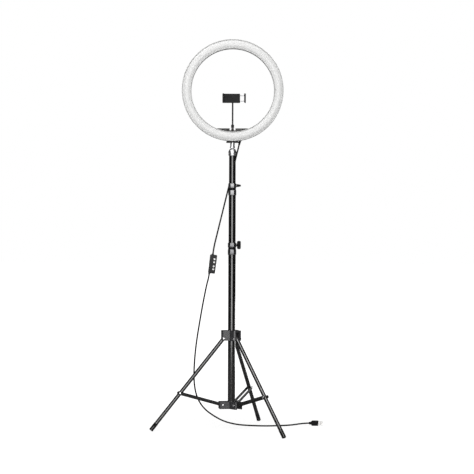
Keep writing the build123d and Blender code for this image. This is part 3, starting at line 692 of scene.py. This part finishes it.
class RINGLIGHT_OT_collars(Maker, bpy.types.Operator):
    """Two faceted clamping collars, each two bands with a black gasket between them"""
    bl_idname = "ringlight.collars"
    bl_label = "Collars"

    def build(self):
        self.collar("lower", 13.6, (18.0, 24.0), "collar_grey")
        self.collar("upper", 13.0, (17.0, 24.0), "collar_silver")

    def collar(self, name, half_width, gap, slot):
        """Eight-sided bands with a flat to the front, and the boss for the wing's screw."""
        node = f"{name}_collar"
        low, high = box(node)
        tube_low, tube_high = box(f"{name}_tube")
        bore = (tube_high.x - tube_low.x) / 2 + 0.05
        half_side = pi / 8
        corner, inner = half_width / cos(half_side), bore / cos(half_side)
        bm = bmesh.new()
        for start, end in ((low.z, low.z + gap[0]), (low.z + gap[1], high.z)):
            band = [
                (inner, start), (corner - 1.3, start), (corner - 0.4, start + 0.5),
                (corner, start + 1.6), (corner, end - 1.6), (corner - 0.4, end - 0.5),
                (corner - 1.3, end), (inner, end),
            ]
            add_to(bm, lathe(band, 8, Matrix.Rotation(half_side, 4, "Z")))
        root, crown = half_width - 1.2, half_width + 1.7
        boss = [(2.6, root), (5.0, root), (5.0, crown - 0.3), (4.7, crown), (2.6, crown)]
        add_to(bm, lathe(boss, 36, to_axis((0, 0, spot(f"{name}_wing_turn").z), (1, 0, 0))))
        piece(f"{name}_clamp_collar", bm, slot, body_of(node), [node], edge=0.35, smooth=30.0)
        lap = 1.0
        gasket = sleeve(
            bore, half_width - lap, low.z + gap[0] - lap, low.z + gap[1] + lap, 64)
        piece(f"{name}_collar_gasket", gasket, "knob_black", body_of(node))


def wing_knob(name, node, joint_name, turn):
    """A wing with grip bars on a coned hub, turned about the screw."""
    low, high = box(node)
    place = Matrix.Translation((0, 0, spot(joint_name).z)) @ Matrix.Rotation(turn, 4, "X")
    hub_x, face_z = high.x - 12.8, 2.2
    flat = place @ Matrix.Translation((hub_x + 6.5, 0, 0)) @ Matrix.Rotation(pi / 2, 4, "X")
    bm = rounded_plate(
        rectangle(12.4, 26.8), face_z * 2, 4.2, flat @ Matrix.Translation((0, 0, -face_z)), 8)
    along_x = place @ Matrix.Rotation(pi / 2, 4, "Y")
    cone = [(0, hub_x - 0.4), (4.4, hub_x - 0.4), (4.9, hub_x + 0.4), (4.3, hub_x + 5),
            (2.9, hub_x + 11), (0, hub_x + 11.4)]
    add_to(bm, lathe(cone, 40, along_x, closed=False))
    add_to(bm, clamping_screw(low.x, hub_x + 1.0, 32, along_x))
    for side in (-1, 1):
        for step in range(3):
            for face in (-1, 1):
                on_wing = Matrix.Translation((0, side * (6.6 + 2.2 * step), face * face_z))
                bar = flat @ on_wing @ Matrix.Rotation(pi / 2, 4, "Y")
                add_to(bm, rod(0.45, -4.2, 4.2, 10, bar))
    piece(name, bm, "knob_black", body_of(node), [node], edge=0.5)


class RINGLIGHT_OT_knobs(Maker, bpy.types.Operator):
    """Wing knobs of the two collars and the clamping knob of the leg hub"""
    bl_idname = "ringlight.knobs"
    bl_label = "Knobs"

    def build(self):
        wing_knob("lower_wing_knob", "lower_knob", "lower_wing_turn", 0.0)
        wing_knob("upper_wing_knob", "upper_knob", "upper_wing_turn", pi / 2)
        refined("leg_hub_knob", "hub_clamp_knob", "knob_black", 0.6)


# ---- tripod ----

def leg_frame(name):
    """A leg's pivot, and its direction down to the floor."""
    across = Vector(joint(f"leg_{name}_fold")["axis"])
    outward = across.cross(Vector((0, 0, 1)))
    down = outward * sin(LEG_LEAN) - Vector((0, 0, 1)) * cos(LEG_LEAN)
    return spot(f"leg_{name}_fold"), down.normalized()


def add_rivets(bm, point, across, radius, half, depth):
    """A domed rivet at each side of a point, each with its shank reaching in."""
    height = 1.7
    arc = [(radius * cos(radians(angle)), height * (0.25 + 0.75 * sin(radians(angle))))
           for angle in range(0, 90, 15)]
    dome = [(0, 0), (radius, 0), *arc, (0, height)]
    for side in (-1, 1):
        place = to_axis(point + across * side * half, across * side)
        add_to(bm, lathe(dome, 32, place, closed=False))
        add_to(bm, rod(2.0, -depth, 0.2, 24, place))


class RINGLIGHT_OT_hubs(Maker, bpy.types.Operator):
    """Sliding leg hub, fixed bottom hub and their pins"""
    bl_idname = "ringlight.hubs"
    bl_label = "Hubs"

    def build(self):
        refined("leg_hub", "leg_hub_casting", "hub_black", 0.9)
        refined("bottom_hub", "bottom_hub_casting", "hub_black", 0.9)
        half = 14.7
        for node, fold, radius, body in (
                ("leg_pins", "leg_{}_fold", 4.2, "leg_collar"),
                ("hub_rivets", "brace_{}_fold", 3.6, "column")):
            bm = bmesh.new()
            for name in LEGS:
                point = spot(fold.format(name))
                across = Vector(joint(fold.format(name))["axis"])
                add_rivets(bm, point, across, radius, half, 7.4)
                if node == "leg_pins":
                    add_to(bm, rod(2.5, -half, half, 24, to_axis(point, across)))
            piece(f"{node}_domed", bm, "rivet_chrome", body, [node])


class RINGLIGHT_OT_legs(Maker, bpy.types.Operator):
    """Leg tubes with their ribbed rubber feet"""
    bl_idname = "ringlight.legs"
    bl_label = "Legs and Feet"

    def build(self):
        outer, inner, top, rim = 6.3, 5.3, -8.0, 0.3
        for name in LEGS:
            body = f"leg_{name}"
            pivot, down = leg_frame(name)
            end = (pivot.z - 3.0) / -down.z
            place = to_axis(pivot, down)
            tube = [
                (inner, top + 1.2), (inner, top), (outer - rim, top), (outer, top + rim),
                (outer, end - 4.0), (inner, end - 4.0),
            ]
            piece(f"{body}_barrel", lathe(tube, 64, place), "leg_black", body, [f"{body}_tube"])
            plug = [(0, top - 0.6), (inner - 0.6, top - 0.6), (inner, top), (inner, top + 6),
                    (0, top + 6)]
            piece(f"{body}_plug", lathe(plug, 48, place, closed=False), "hub_black", body)
            self.foot(name, end, place)

    def foot(self, name, end, place):
        """A cap with three grooves, a thicker lip and a flat where it meets the floor."""
        outer, rib, inner = 6.9, sizes().foot_rib / MM, 6.32
        top = end - 28.0
        profile = [(inner, top), (outer - 0.3, top), (outer, top + 0.4), (outer, top + 2.2),
                   (outer - 0.2, top + 2.6)]
        groove = outer - 0.05
        for step in range(3):
            start = top + 17.0 + 2.6 * step
            profile += [(groove, start), (outer - rib, start + 0.3), (outer - rib, start + 0.9),
                        (groove, start + 1.2)]
        profile += [(outer, end - 0.8), (outer - 0.6, end), (0, end)]
        closed = profile + [(0, end - 3.0), (inner, end - 3.0)]
        bm = lathe(closed, 64, place)
        cut = bmesh.ops.bisect_plane(
            bm, geom=bm.verts[:] + bm.edges[:] + bm.faces[:], plane_co=(0, 0, 0),
            plane_no=(0, 0, -1), clear_outer=True)
        rims = [item for item in cut["geom_cut"] if isinstance(item, bmesh.types.BMEdge)]
        bmesh.ops.holes_fill(bm, edges=rims, sides=0)
        piece(f"leg_{name}_cap", bm, "foot_rubber", f"leg_{name}", [f"leg_{name}_foot"])


class RINGLIGHT_OT_braces(Maker, bpy.types.Operator):
    """Flat brace bars in pairs, with domed rivets at the legs"""
    bl_idname = "ringlight.braces"
    bl_label = "Braces"

    def build(self):
        for name in LEGS:
            refined(f"brace_{name}_strips", f"brace_{name}_bars", "strip_black", 0.3)
            across = Vector(joint(f"brace_{name}_fold")["axis"])
            bm = bmesh.new()
            add_rivets(bm, middle(f"brace_{name}_rivets"), across, 4.0, 8.6, 1.3)
            piece(f"brace_{name}_rivet_heads", bm, "rivet_chrome", f"brace_{name}",
                  [f"brace_{name}_rivets"])


# ---- tilting head ----

class RINGLIGHT_OT_head(Maker, bpy.types.Operator):
    """Turned socket, ball with its neck, and the lock knob"""
    bl_idname = "ringlight.head"
    bl_label = "Tilting Head"

    def build(self):
        low, high = box("head_socket")
        radius, waist, hollow, bore = 13.0, 12.1, 3.1, 7.5
        ball = spot("head_tilt").z
        profile = [
            (hollow, low.z), (radius - 0.8, low.z), (radius, low.z + 0.8), (radius, low.z + 4.6),
            (waist, low.z + 5.1), (waist, low.z + 6.3), (radius, low.z + 6.8),
            (radius, high.z - 8.4), (radius - 0.4, high.z - 7.2), (8.8, high.z - 0.4),
            (8.4, high.z), (bore + 0.2, high.z), (bore, high.z - 0.2), (9.0, high.z - 3.0),
            (9.6, ball), (8.8, ball - 4), (hollow, low.z + 5.6),
        ]
        bm = lathe(profile, 96)
        boss = to_axis((0, 0, spot("lock_knob_turn").z), (0, 1, 0))
        add_to(bm, sleeve(2.6, 4.6, 11.5, 14.0, 32, boss))
        piece("head_socket_turned", bm, "head_silver", "pan_head", ["head_socket"], edge=0.25)
        self.neck(ball)
        self.knob()

    def neck(self, ball):
        high = box("tilt_ball")[1]
        sphere, stem, neck, skirt, pin = 9.5, 4.0, 7.2, 8.6, 3.0
        foot = ball + 9.3
        profile = [(0, ball - sphere)]
        profile += [(sphere * sin(radians(angle)), ball - sphere * cos(radians(angle)))
                    for angle in range(8, 153, 8)]
        profile += [
            (stem, foot - 0.6), (stem, foot), (skirt - 0.5, foot), (skirt, foot + 0.5),
            (skirt - 0.5, foot + 2.0), (neck + 0.15, foot + 5.4), (neck, foot + 6.6),
            (neck - 0.4, foot + 7.0), (neck - 0.4, foot + 7.8), (neck, foot + 8.2),
            (neck, foot + 16.6), (neck - 0.6, foot + 17.2), (pin, foot + 17.2), (pin, high.z),
            (0, high.z),
        ]
        piece("tilt_ball_turned", lathe(profile, 80, closed=False), "head_silver", "ring_head",
              ["tilt_ball"])

    def knob(self):
        """A fluted grip on its screw."""
        low, high = box("socket_knob")
        place = to_axis((0, 0, spot("lock_knob_turn").z), (0, 1, 0))
        start = high.y - 9.5
        bm = bmesh.new()
        bmesh.ops.create_circle(bm, cap_ends=True, segments=72, radius=6.4)
        for index, vert in enumerate(bm.verts):
            if index % 4 < 2:
                vert.co *= 0.93
        bmesh.ops.translate(bm, vec=(0, 0, start), verts=bm.verts)
        thicken(bm, high.y - start)
        bmesh.ops.transform(bm, matrix=place, verts=bm.verts)
        add_to(bm, clamping_screw(low.y, start + 1.0, 28, place))
        piece("head_lock_knob", bm, "knob_black", "lock_knob", ["socket_knob"], edge=0.35,
              smooth=28.0)


# ---- ring ----

def ring_place():
    """The light's axis: +Z of a lathe runs along +Y through the ring's centre."""
    return Matrix.Translation((0, 0, RING_CENTRE.z)) @ Matrix.Rotation(-pi / 2, 4, "X")


def quarter(centre_r, centre_y, radius, start, end, steps):
    """Points of an arc in a ring's outline, by angle from the outward direction."""
    angles = [radians(start + (end - start) * step / steps) for step in range(steps + 1)]
    return [(centre_r + radius * cos(angle), centre_y + radius * sin(angle)) for angle in angles]


class RINGLIGHT_OT_ring_shell(Maker, bpy.types.Operator):
    """The ring's trough-shaped shell, its cord outlet and its screws"""
    bl_idname = "ringlight.ring_shell"
    bl_label = "Ring Shell"

    def build(self):
        wall, edge, lip, groove = 2.2, 5.0, 0.7, 0.5
        outer, inner = SHELL_OUT, SHELL_IN
        mid = (outer + inner) / 2
        profile = [(outer - wall, SHELL_FRONT + 0.4), (outer - wall + 0.4, SHELL_FRONT),
                   (outer - lip, SHELL_FRONT)]
        profile += quarter(outer - lip, SHELL_FRONT + lip, lip, -70, 0, 3)
        profile += quarter(outer - edge, SHELL_BACK - edge, edge, 0, 90, 8)
        profile += [(mid + 5.2, SHELL_BACK), (mid + 4.8, SHELL_BACK - groove),
                    (mid + 3.9, SHELL_BACK - groove), (mid + 3.5, SHELL_BACK)]
        profile += quarter(inner + edge, SHELL_BACK - edge, edge, 90, 180, 8)
        profile += quarter(inner + lip, SHELL_FRONT + lip, lip, 180, 250, 3)
        profile += [(inner + wall - 0.4, SHELL_FRONT), (inner + wall, SHELL_FRONT + 0.4),
                    (inner + wall, SHELL_BACK - wall), (outer - wall, SHELL_BACK - wall)]
        bm = lathe(profile, 224, ring_place())
        piece("ring_shell", bm, "shell_white", "ring_head", ["back_shell"], smooth=50.0)
        self.outlet()
        self.screws()

    def outlet(self):
        """The block on the back that the cord comes out of, worked out in metres."""
        x, y, z = UPPER_LINE[0] * MM
        back, sunk, bevel, half = SHELL_BACK * MM, 0.6 * MM, 2.5 * MM, 6 * MM
        depth, height = y + 5.5 * MM - back + sunk, 18 * MM
        outline = [(-half, 0), (half, 0), (half, depth - bevel), (half - bevel, depth),
                   (-half + bevel, depth), (-half, depth - bevel)]
        place = Matrix.Translation((x, back - sunk, z))
        piece("cord_outlet", rounded_plate(outline, height, 0.0, place), "shell_white",
              "ring_head", edge=0.8, scale=1.0)

    def screws(self):
        """Screws over the shell's posts, and through the bracket's plate."""
        reach = (SHELL_OUT + SHELL_IN) / 2
        posts = [
            (reach * cos(pi * step / 3), SHELL_BACK, RING_CENTRE.z + reach * sin(pi * step / 3))
            for step in range(6)
        ]
        low, high = box("bracket_screws")
        radius, rise = 2.8, 1.5
        height = (low.z + high.z) / 2
        plate = [(x, high.y - rise, height) for x in (low.x + radius, high.x - radius)]
        for spots, name, node in (
                (posts, "shell_screw_heads", "shell_screws"),
                (plate, "bracket_screw_heads", "bracket_screws")):
            screw_heads(
                name, [to_axis(point, (0, 1, 0)) for point in spots], radius, rise, "ring_head",
                [node], smooth=40.0)


def screw_heads(name, places, radius, height, body, replaces=(), smooth=34.0):
    """Cross-slot pan heads, one at each place."""
    bm = bmesh.new()
    for place in places:
        add_to(bm, cross_screw(radius, height, place))
    piece(name, bm, "screw_steel", body, replaces, smooth=smooth)


def cross_screw(radius, height, place):
    """A pan head with a cross pressed into its crown."""
    slot_width, slot_rise = 0.84, 0.02
    bm = bmesh.new()
    bmesh.ops.create_circle(bm, cap_ends=False, segments=32, radius=radius)
    bmesh.ops.contextual_create(bm, geom=bm.edges[:])
    top = thicken(bm, height * 0.55)
    crown = [face for face in bm.faces if all(vert in top for vert in face.verts)]
    bmesh.ops.inset_region(bm, faces=crown, thickness=radius * 0.35, depth=0.0)
    inner = {vert for face in crown for vert in face.verts}
    bmesh.ops.translate(bm, vec=(0, 0, height * 0.45), verts=list(inner))
    bars = bmesh.new()
    for turn in (0.0, pi / 2):
        bmesh.ops.create_cube(
            bars, size=1.0,
            matrix=Matrix.Rotation(turn, 4, "Z") @ Matrix.Translation((0, 0, height + slot_rise))
            @ Matrix.Diagonal((radius * 0.95, slot_width, 0.1, 1)))
    add_to(bm, bars)
    bmesh.ops.transform(bm, matrix=place, verts=bm.verts)
    return bm


class RINGLIGHT_OT_diffuser(Maker, bpy.types.Operator):
    """The crowned milky front, with the board and the chips behind it"""
    bl_idname = "ringlight.diffuser"
    bl_label = "Diffuser and Lamps"

    def build(self):
        low, high = SHELL_IN + 2.4, SHELL_OUT - 2.4
        back, edge, crown = -9.4, SHELL_FRONT + 2.2, -4.0
        steps = 14
        face = [
            (high + (low - high) * step / steps, edge + crown * sin(pi * step / steps) ** 0.8)
            for step in range(steps + 1)
        ]
        profile = [(low, back), (high, back)] + face
        piece("milky_diffuser", lathe(profile, 224, ring_place()), "diffuser_white", "ring_head",
              ["front_diffuser"], smooth=40.0)
        keep_node("led_board", "board_white")
        keep_node("led_chips", "chip_yellow")


class RINGLIGHT_OT_bracket(Maker, bpy.types.Operator):
    """The bracket under and behind the ring, and the cord's strain relief"""
    bl_idname = "ringlight.bracket"
    bl_label = "Bracket"

    def build(self):
        refined("ring_bracket", "ring_bracket_plate", "bracket_black", 0.5)
        direction = UPPER_LINE[1] - UPPER_LINE[0]
        profile = [(2.5, 0.4), (4.3, 0.4)]
        for step in range(4):
            start = 3.0 + 3.7 * step
            radius = 4.2 - 0.26 * step
            profile += [(radius, start), (radius - 0.7, start + 0.5),
                        (radius - 0.7, start + 1.4), (radius - 0.1, start + 1.9)]
        profile += [(3.1, 17.4), (2.8, 18.0), (2.5, 18.0)]
        bm = lathe(profile, 40, to_axis(UPPER_LINE[0], direction))
        add_to(bm, sleeve(2.5, 4.3, -2.4, 3.0, 40, to_axis(UPPER_LINE[0], (0, 0, 1))))
        piece("cord_strain_relief", bm, "cord_black", "ring_head", ["cord_gland"], smooth=40.0)


# ---- phone holder ----

class RINGLIGHT_OT_phone_arm(Maker, bpy.types.Operator):
    """The ball post, the rod with its sleeve and eye, and the yoke"""
    bl_idname = "ringlight.phone_arm"
    bl_label = "Phone Arm"

    def build(self):
        refined("arm_base", "arm_post", "arm_steel", 0.2)
        ball, eye = spot("holder_arm_tilt"), spot("holder_tilt")
        base = (0, ball.y, 0)
        low, sleeve_top = ball.z - 4.6, ball.z + 6.0
        rod, sleeve = 2.5, 5.0
        profile = [(3.3, low), (sleeve - 0.8, low), (sleeve, low + 0.8)]
        for step in range(4):
            start = low + 2.0 + 1.7 * step
            profile += [(sleeve, start), (sleeve - 0.35, start + 0.3),
                        (sleeve - 0.35, start + 0.8), (sleeve, start + 1.1)]
        profile += [(sleeve, sleeve_top - 1.6), (sleeve - 1.2, sleeve_top - 0.4),
                    (rod + 0.5, sleeve_top), (rod, sleeve_top + 0.8), (rod, eye.z - 4.0),
                    (0, eye.z - 4.0), (0, sleeve_top - 2), (3.3, ball.z + 2)]
        bm = lathe(profile, 48, Matrix.Translation(base))
        ring = [(1.56, -4), (4.6, -4), (5.0, -3.6), (5.0, 3.6),
                (4.6, 4), (1.56, 4)]
        add_to(bm, lathe(ring, 48, to_axis(eye, (1, 0, 0))))
        piece("arm_rod", bm, "arm_black", "holder_arm", ["phone_arm"])
        refined("clamp_yoke", "swivel_yoke", "clamp_black", 0.35)
        refined("yoke_pin", "swivel_pin", "screw_steel", 0.2)


def ribbed_pad(name, node, body, side):
    """A rubber pad with upright ribs on the face that holds the phone."""
    low, high = box(node)
    centre, size = (low + high) / 2, high - low
    bm = bmesh.new()
    bmesh.ops.create_cube(
        bm, size=1.0, matrix=Matrix.Translation(centre) @ Matrix.Diagonal((*size, 1)))
    ribs = 7
    for index in range(ribs):
        z = low.z + size.z * (index + 0.5) / ribs
        x = low.x if side > 0 else high.x
        reach = size.y * 0.46
        add_to(bm, rod(0.5, -reach, reach, 12, to_axis((x, centre.y, z), (0, 1, 0))))
    piece(name, bm, "pad_rubber", body, [node], edge=0.15)


class RINGLIGHT_OT_phone_clamp(Maker, bpy.types.Operator):
    """The clamp's body, cover, jaws, pads and guide rods"""
    bl_idname = "ringlight.phone_clamp"
    bl_label = "Phone Clamp"

    def build(self):
        refined("clamp_body", "clamp_case", "clamp_black", 0.5)
        refined("clamp_cover", "clamp_back", "clamp_black", 0.4)
        refined("clamp_jaw", "clamp_moving_jaw", "clamp_black", 0.5)
        ribbed_pad("clamp_pad_fixed", "clamp_fixed_pad", "clamp", -1)
        ribbed_pad("clamp_pad_moving", "clamp_jaw_pad", "sliding_jaw", 1)
        refined("clamp_rods", "clamp_guide_rods", "screw_steel", 0.15)
        self.springs()

    def springs(self):
        """Two springs, as one welded copy of their CAD shape, fixed in place."""
        mesh = welded_copy("clamp_springs", "guide_springs")
        made = seat("guide_springs", mesh, "screw_steel", None, ["clamp_springs"], smooth=60.0)
        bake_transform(made)


# ---- controller ----

def box_place():
    """The controller's own place: its middle, leaning with its top to the right."""
    centre = BOX_TOP + BOX_DOWN * (BOX_HEIGHT / 2)
    return Matrix.Translation(centre) @ Matrix.Rotation(BOX_LEAN, 4, "Y")


class RINGLIGHT_OT_controller(Maker, bpy.types.Operator):
    """The hand controller with its panel, buttons, board and screws"""
    bl_idname = "ringlight.controller"
    bl_label = "Controller"

    def build(self):
        refined("controller_front", "controller_face_shell", "box_black", 0.0)
        refined("controller_back", "controller_back_shell", "box_black", 0.0)
        keep_node("controller_board", "board_green")
        place = box_place()
        facing = Matrix.Rotation(pi / 2, 4, "X")
        spout = [(2.5, 0), (3.9, 0), (3.7, 1.6), (3.1, 3.4), (2.5, 3.6)]
        for name, mouth, outward in (("top", BOX_ENTRY, -BOX_DOWN), ("foot", BOX_EXIT, BOX_DOWN)):
            start = to_axis(mouth - outward * 0.4, outward)
            piece(f"controller_spout_{name}", lathe(spout, 36, start), "box_black", "middle_mast")
        backwards = Matrix.Rotation(-pi / 2, 4, "X")
        spots = [place @ Matrix.Translation((-7.5, 5.4, z)) @ backwards for z in (25.0, -25.0)]
        screw_heads("controller_screws", spots, 1.9, 0.9, "middle_mast")
        for number in range(1, 5):
            self.button(number, place, facing)

    def button(self, number, place, facing):
        node = f"button_{number}"
        centre = middle(node)
        local = place.inverted() @ centre
        stand = place @ Matrix.Translation((local.x, -6.0, local.z)) @ facing
        radius, high = 3.1, 1.1
        edge = 0.6
        profile = [(0, -3.4), (4.1, -3.4), (4.1, -2.6), (radius, -2.6), (radius, high - edge)]
        profile += quarter(radius - edge, high - edge, edge, 0, 90, 5)
        profile += [(1.4, high - 0.12), (0, high - 0.2)]
        piece(f"push_button_{number}", lathe(profile, 40, stand, closed=False), "button_white",
              node, [node], smooth=40.0)


class RINGLIGHT_OT_plug(Maker, bpy.types.Operator):
    """The moulded plug with its grip ribs, metal shell and tongue"""
    bl_idname = "ringlight.plug"
    bl_label = "Plug"

    def build(self):
        refined("usb_body", "plug_body", "plug_black", 0.5)
        refined("usb_shell", "plug_shell", "usb_metal", 0.0)
        low, high = box("usb_shell")
        centre = (low + high) / 2
        size = Vector((high.x - low.x - 0.8, 1.7, 10.8))
        bm = bmesh.new()
        tongue = Matrix.Translation((low.x + size.x / 2, centre.y + 0.9, centre.z))
        bmesh.ops.create_cube(bm, size=1.0, matrix=tongue @ Matrix.Diagonal((*size, 1)))
        piece("plug_tongue", bm, "button_white", "column", edge=0.2)


# ---- stage ----

# Each light's name, place, target, width, height and power, in metres and watts.
LIGHTS = (
    ("front softbox", (-0.1, -3.3, 1.2), (0, 0, 0.7), 2.6, 2.4, 72.0),
    ("high left softbox", (-1.9, -2.5, 3.7), (0, 0, 0.75), 2.0, 1.2, 50.0),
    ("high front softbox", (0.2, -2.6, 3.6), (0, 0, 0.75), 2.0, 1.2, 30.0),
    ("overhead softbox", (0.0, 0.2, 4.5), (0, 0, 0), 3.0, 3.0, 56.0),
    ("rear card", (1.5, 1.7, 0.12), (0, 0.05, 0.12), 0.8, 0.4, 5.0),
)


def area_light(name, place, target, width, height, power):
    light = bpy.data.lights.new(name, "AREA")
    light.shape = "RECTANGLE"
    light.size = width
    light.size_y = height
    light.energy = power
    made = add_object(name, light)
    made.location = place
    made.rotation_euler = (Vector(target) - Vector(place)).to_track_quat("-Z", "Y").to_euler()
    made.visible_camera = False


def stage_floor():
    """A pale floor: lit near the stand, so that it takes a soft shadow, and plain further out."""
    bm = bmesh.new()
    bmesh.ops.create_grid(bm, x_segments=1, y_segments=1, size=30.0)
    bmesh.ops.translate(bm, vec=(0, 0, -0.3 * MM), verts=bm.verts)
    mesh = bpy.data.meshes.new("floor")
    bm.to_mesh(mesh)
    bm.free()
    material, tree, shader = blank_material("Pale Floor")
    grain = noise(tree, object_point(tree), 220.0, 3.0)
    shader.inputs["Roughness"].default_value = 0.9
    shader.inputs["Specular IOR Level"].default_value = 0.0
    paths = tree.nodes.new("ShaderNodeLightPath")
    seen = paths.outputs["Is Camera Ray"]
    pale = colour_mix(tree, grain, (0.86, 0.86, 0.86), (0.9, 0.9, 0.9))
    tree.links.new(colour_mix(tree, seen, (0.30, 0.30, 0.30), pale), shader.inputs["Base Color"])
    distance = tree.nodes.new("ShaderNodeVectorMath")
    distance.operation = "LENGTH"
    tree.links.new(object_point(tree), distance.inputs[0])
    far = remap(tree, distance.outputs["Value"], 0.3, 0.9)
    plain = maths(tree, "ADD", maths(tree, "MULTIPLY", far, 0.3), 0.7)
    glow = tree.nodes.new("ShaderNodeEmission")
    glow.inputs["Strength"].default_value = 1.22
    mixer = tree.nodes.new("ShaderNodeMixShader")
    tree.links.new(maths(tree, "MULTIPLY", plain, seen), mixer.inputs[0])
    tree.links.new(shader.outputs[0], mixer.inputs[1])
    tree.links.new(glow.outputs[0], mixer.inputs[2])
    tree.links.new(mixer.outputs[0], tree.nodes["Material Output"].inputs["Surface"])
    mesh.materials.append(material)
    floor = add_object("floor", mesh)


def stage_world():
    """White to the camera, and dim to the side of glossy things."""
    world = bpy.data.worlds.new("Studio")
    bpy.context.scene.world = world
    world.use_nodes = True
    tree = world.node_tree
    paths = tree.nodes.new("ShaderNodeLightPath")
    seen, lit = tree.nodes["Background"], tree.nodes.new("ShaderNodeBackground")
    seen.inputs["Color"].default_value = (1, 1, 1, 1)
    seen.inputs["Strength"].default_value = 1.0
    lit.inputs["Color"].default_value = (1, 1, 1, 1)
    lit.inputs["Strength"].default_value = 0.02
    mixer = tree.nodes.new("ShaderNodeMixShader")
    tree.links.new(paths.outputs["Is Camera Ray"], mixer.inputs[0])
    tree.links.new(lit.outputs[0], mixer.inputs[1])
    tree.links.new(seen.outputs[0], mixer.inputs[2])
    tree.links.new(mixer.outputs[0], tree.nodes["World Output"].inputs["Surface"])


class RINGLIGHT_OT_stage(Maker, bpy.types.Operator):
    """Floor, studio light and camera"""
    bl_idname = "ringlight.stage"
    bl_label = "Stage"

    def build(self):
        stage_floor()
        stage_world()
        for light in LIGHTS:
            area_light(*light)
        lens = bpy.data.cameras.new("camera")
        lens.sensor_width = 36.0
        lens.lens = 113.6
        camera = add_object("camera", lens)
        camera.location = (0.016, -sizes().camera_distance, sizes().camera_height)
        camera.rotation_euler = (pi / 2, radians(-0.25), 0)
        bpy.context.scene.camera = camera
        bpy.context.scene.view_settings.view_transform = "Standard"


# ---- panel and registration ----

OPERATORS = (
    RINGLIGHT_OT_stage, RINGLIGHT_OT_plug, RINGLIGHT_OT_cords, RINGLIGHT_OT_mast,
    RINGLIGHT_OT_collars, RINGLIGHT_OT_knobs, RINGLIGHT_OT_hubs, RINGLIGHT_OT_legs,
    RINGLIGHT_OT_braces, RINGLIGHT_OT_head, RINGLIGHT_OT_ring_shell, RINGLIGHT_OT_diffuser,
    RINGLIGHT_OT_bracket, RINGLIGHT_OT_phone_arm, RINGLIGHT_OT_phone_clamp,
    RINGLIGHT_OT_controller,
)


class RINGLIGHT_PT_panel(bpy.types.Panel):
    """Lists the ring light's pieces"""
    bl_label = "Ring Light"
    bl_idname = "RINGLIGHT_PT_panel"
    bl_space_type = "VIEW_3D"
    bl_region_type = "UI"
    bl_category = "Ring Light"

    def draw(self, context):
        for group in (context.scene.ringlight_sizes, context.scene.ringlight_colours):
            box = self.layout.box()
            for name in group.__annotations__:
                box.prop(group, name)
        for operator in OPERATORS:
            self.layout.operator(operator.bl_idname)


CLASSES = (RINGLIGHT_PG_sizes, RINGLIGHT_PG_colours, *OPERATORS, RINGLIGHT_PT_panel)


def register():
    for item in CLASSES:
        bpy.utils.register_class(item)
    bpy.types.Scene.ringlight_sizes = bpy.props.PointerProperty(type=RINGLIGHT_PG_sizes)
    bpy.types.Scene.ringlight_colours = bpy.props.PointerProperty(type=RINGLIGHT_PG_colours)


def unregister():
    del bpy.types.Scene.ringlight_colours
    del bpy.types.Scene.ringlight_sizes
    for item in reversed(CLASSES):
        bpy.utils.unregister_class(item)


def corners(box):
    return [[float(value) for value in corner] for corner in box]


def main():
    register()
    for make in (make_grain_group, make_wear_group, make_dust_group, make_rub_group):
        make()
    FINISH.update(make_materials())
    for operator in OPERATORS:
        getattr(bpy.ops.ringlight, operator.bl_idname.split(".")[1])()


if __name__ == "__main__":
    main()
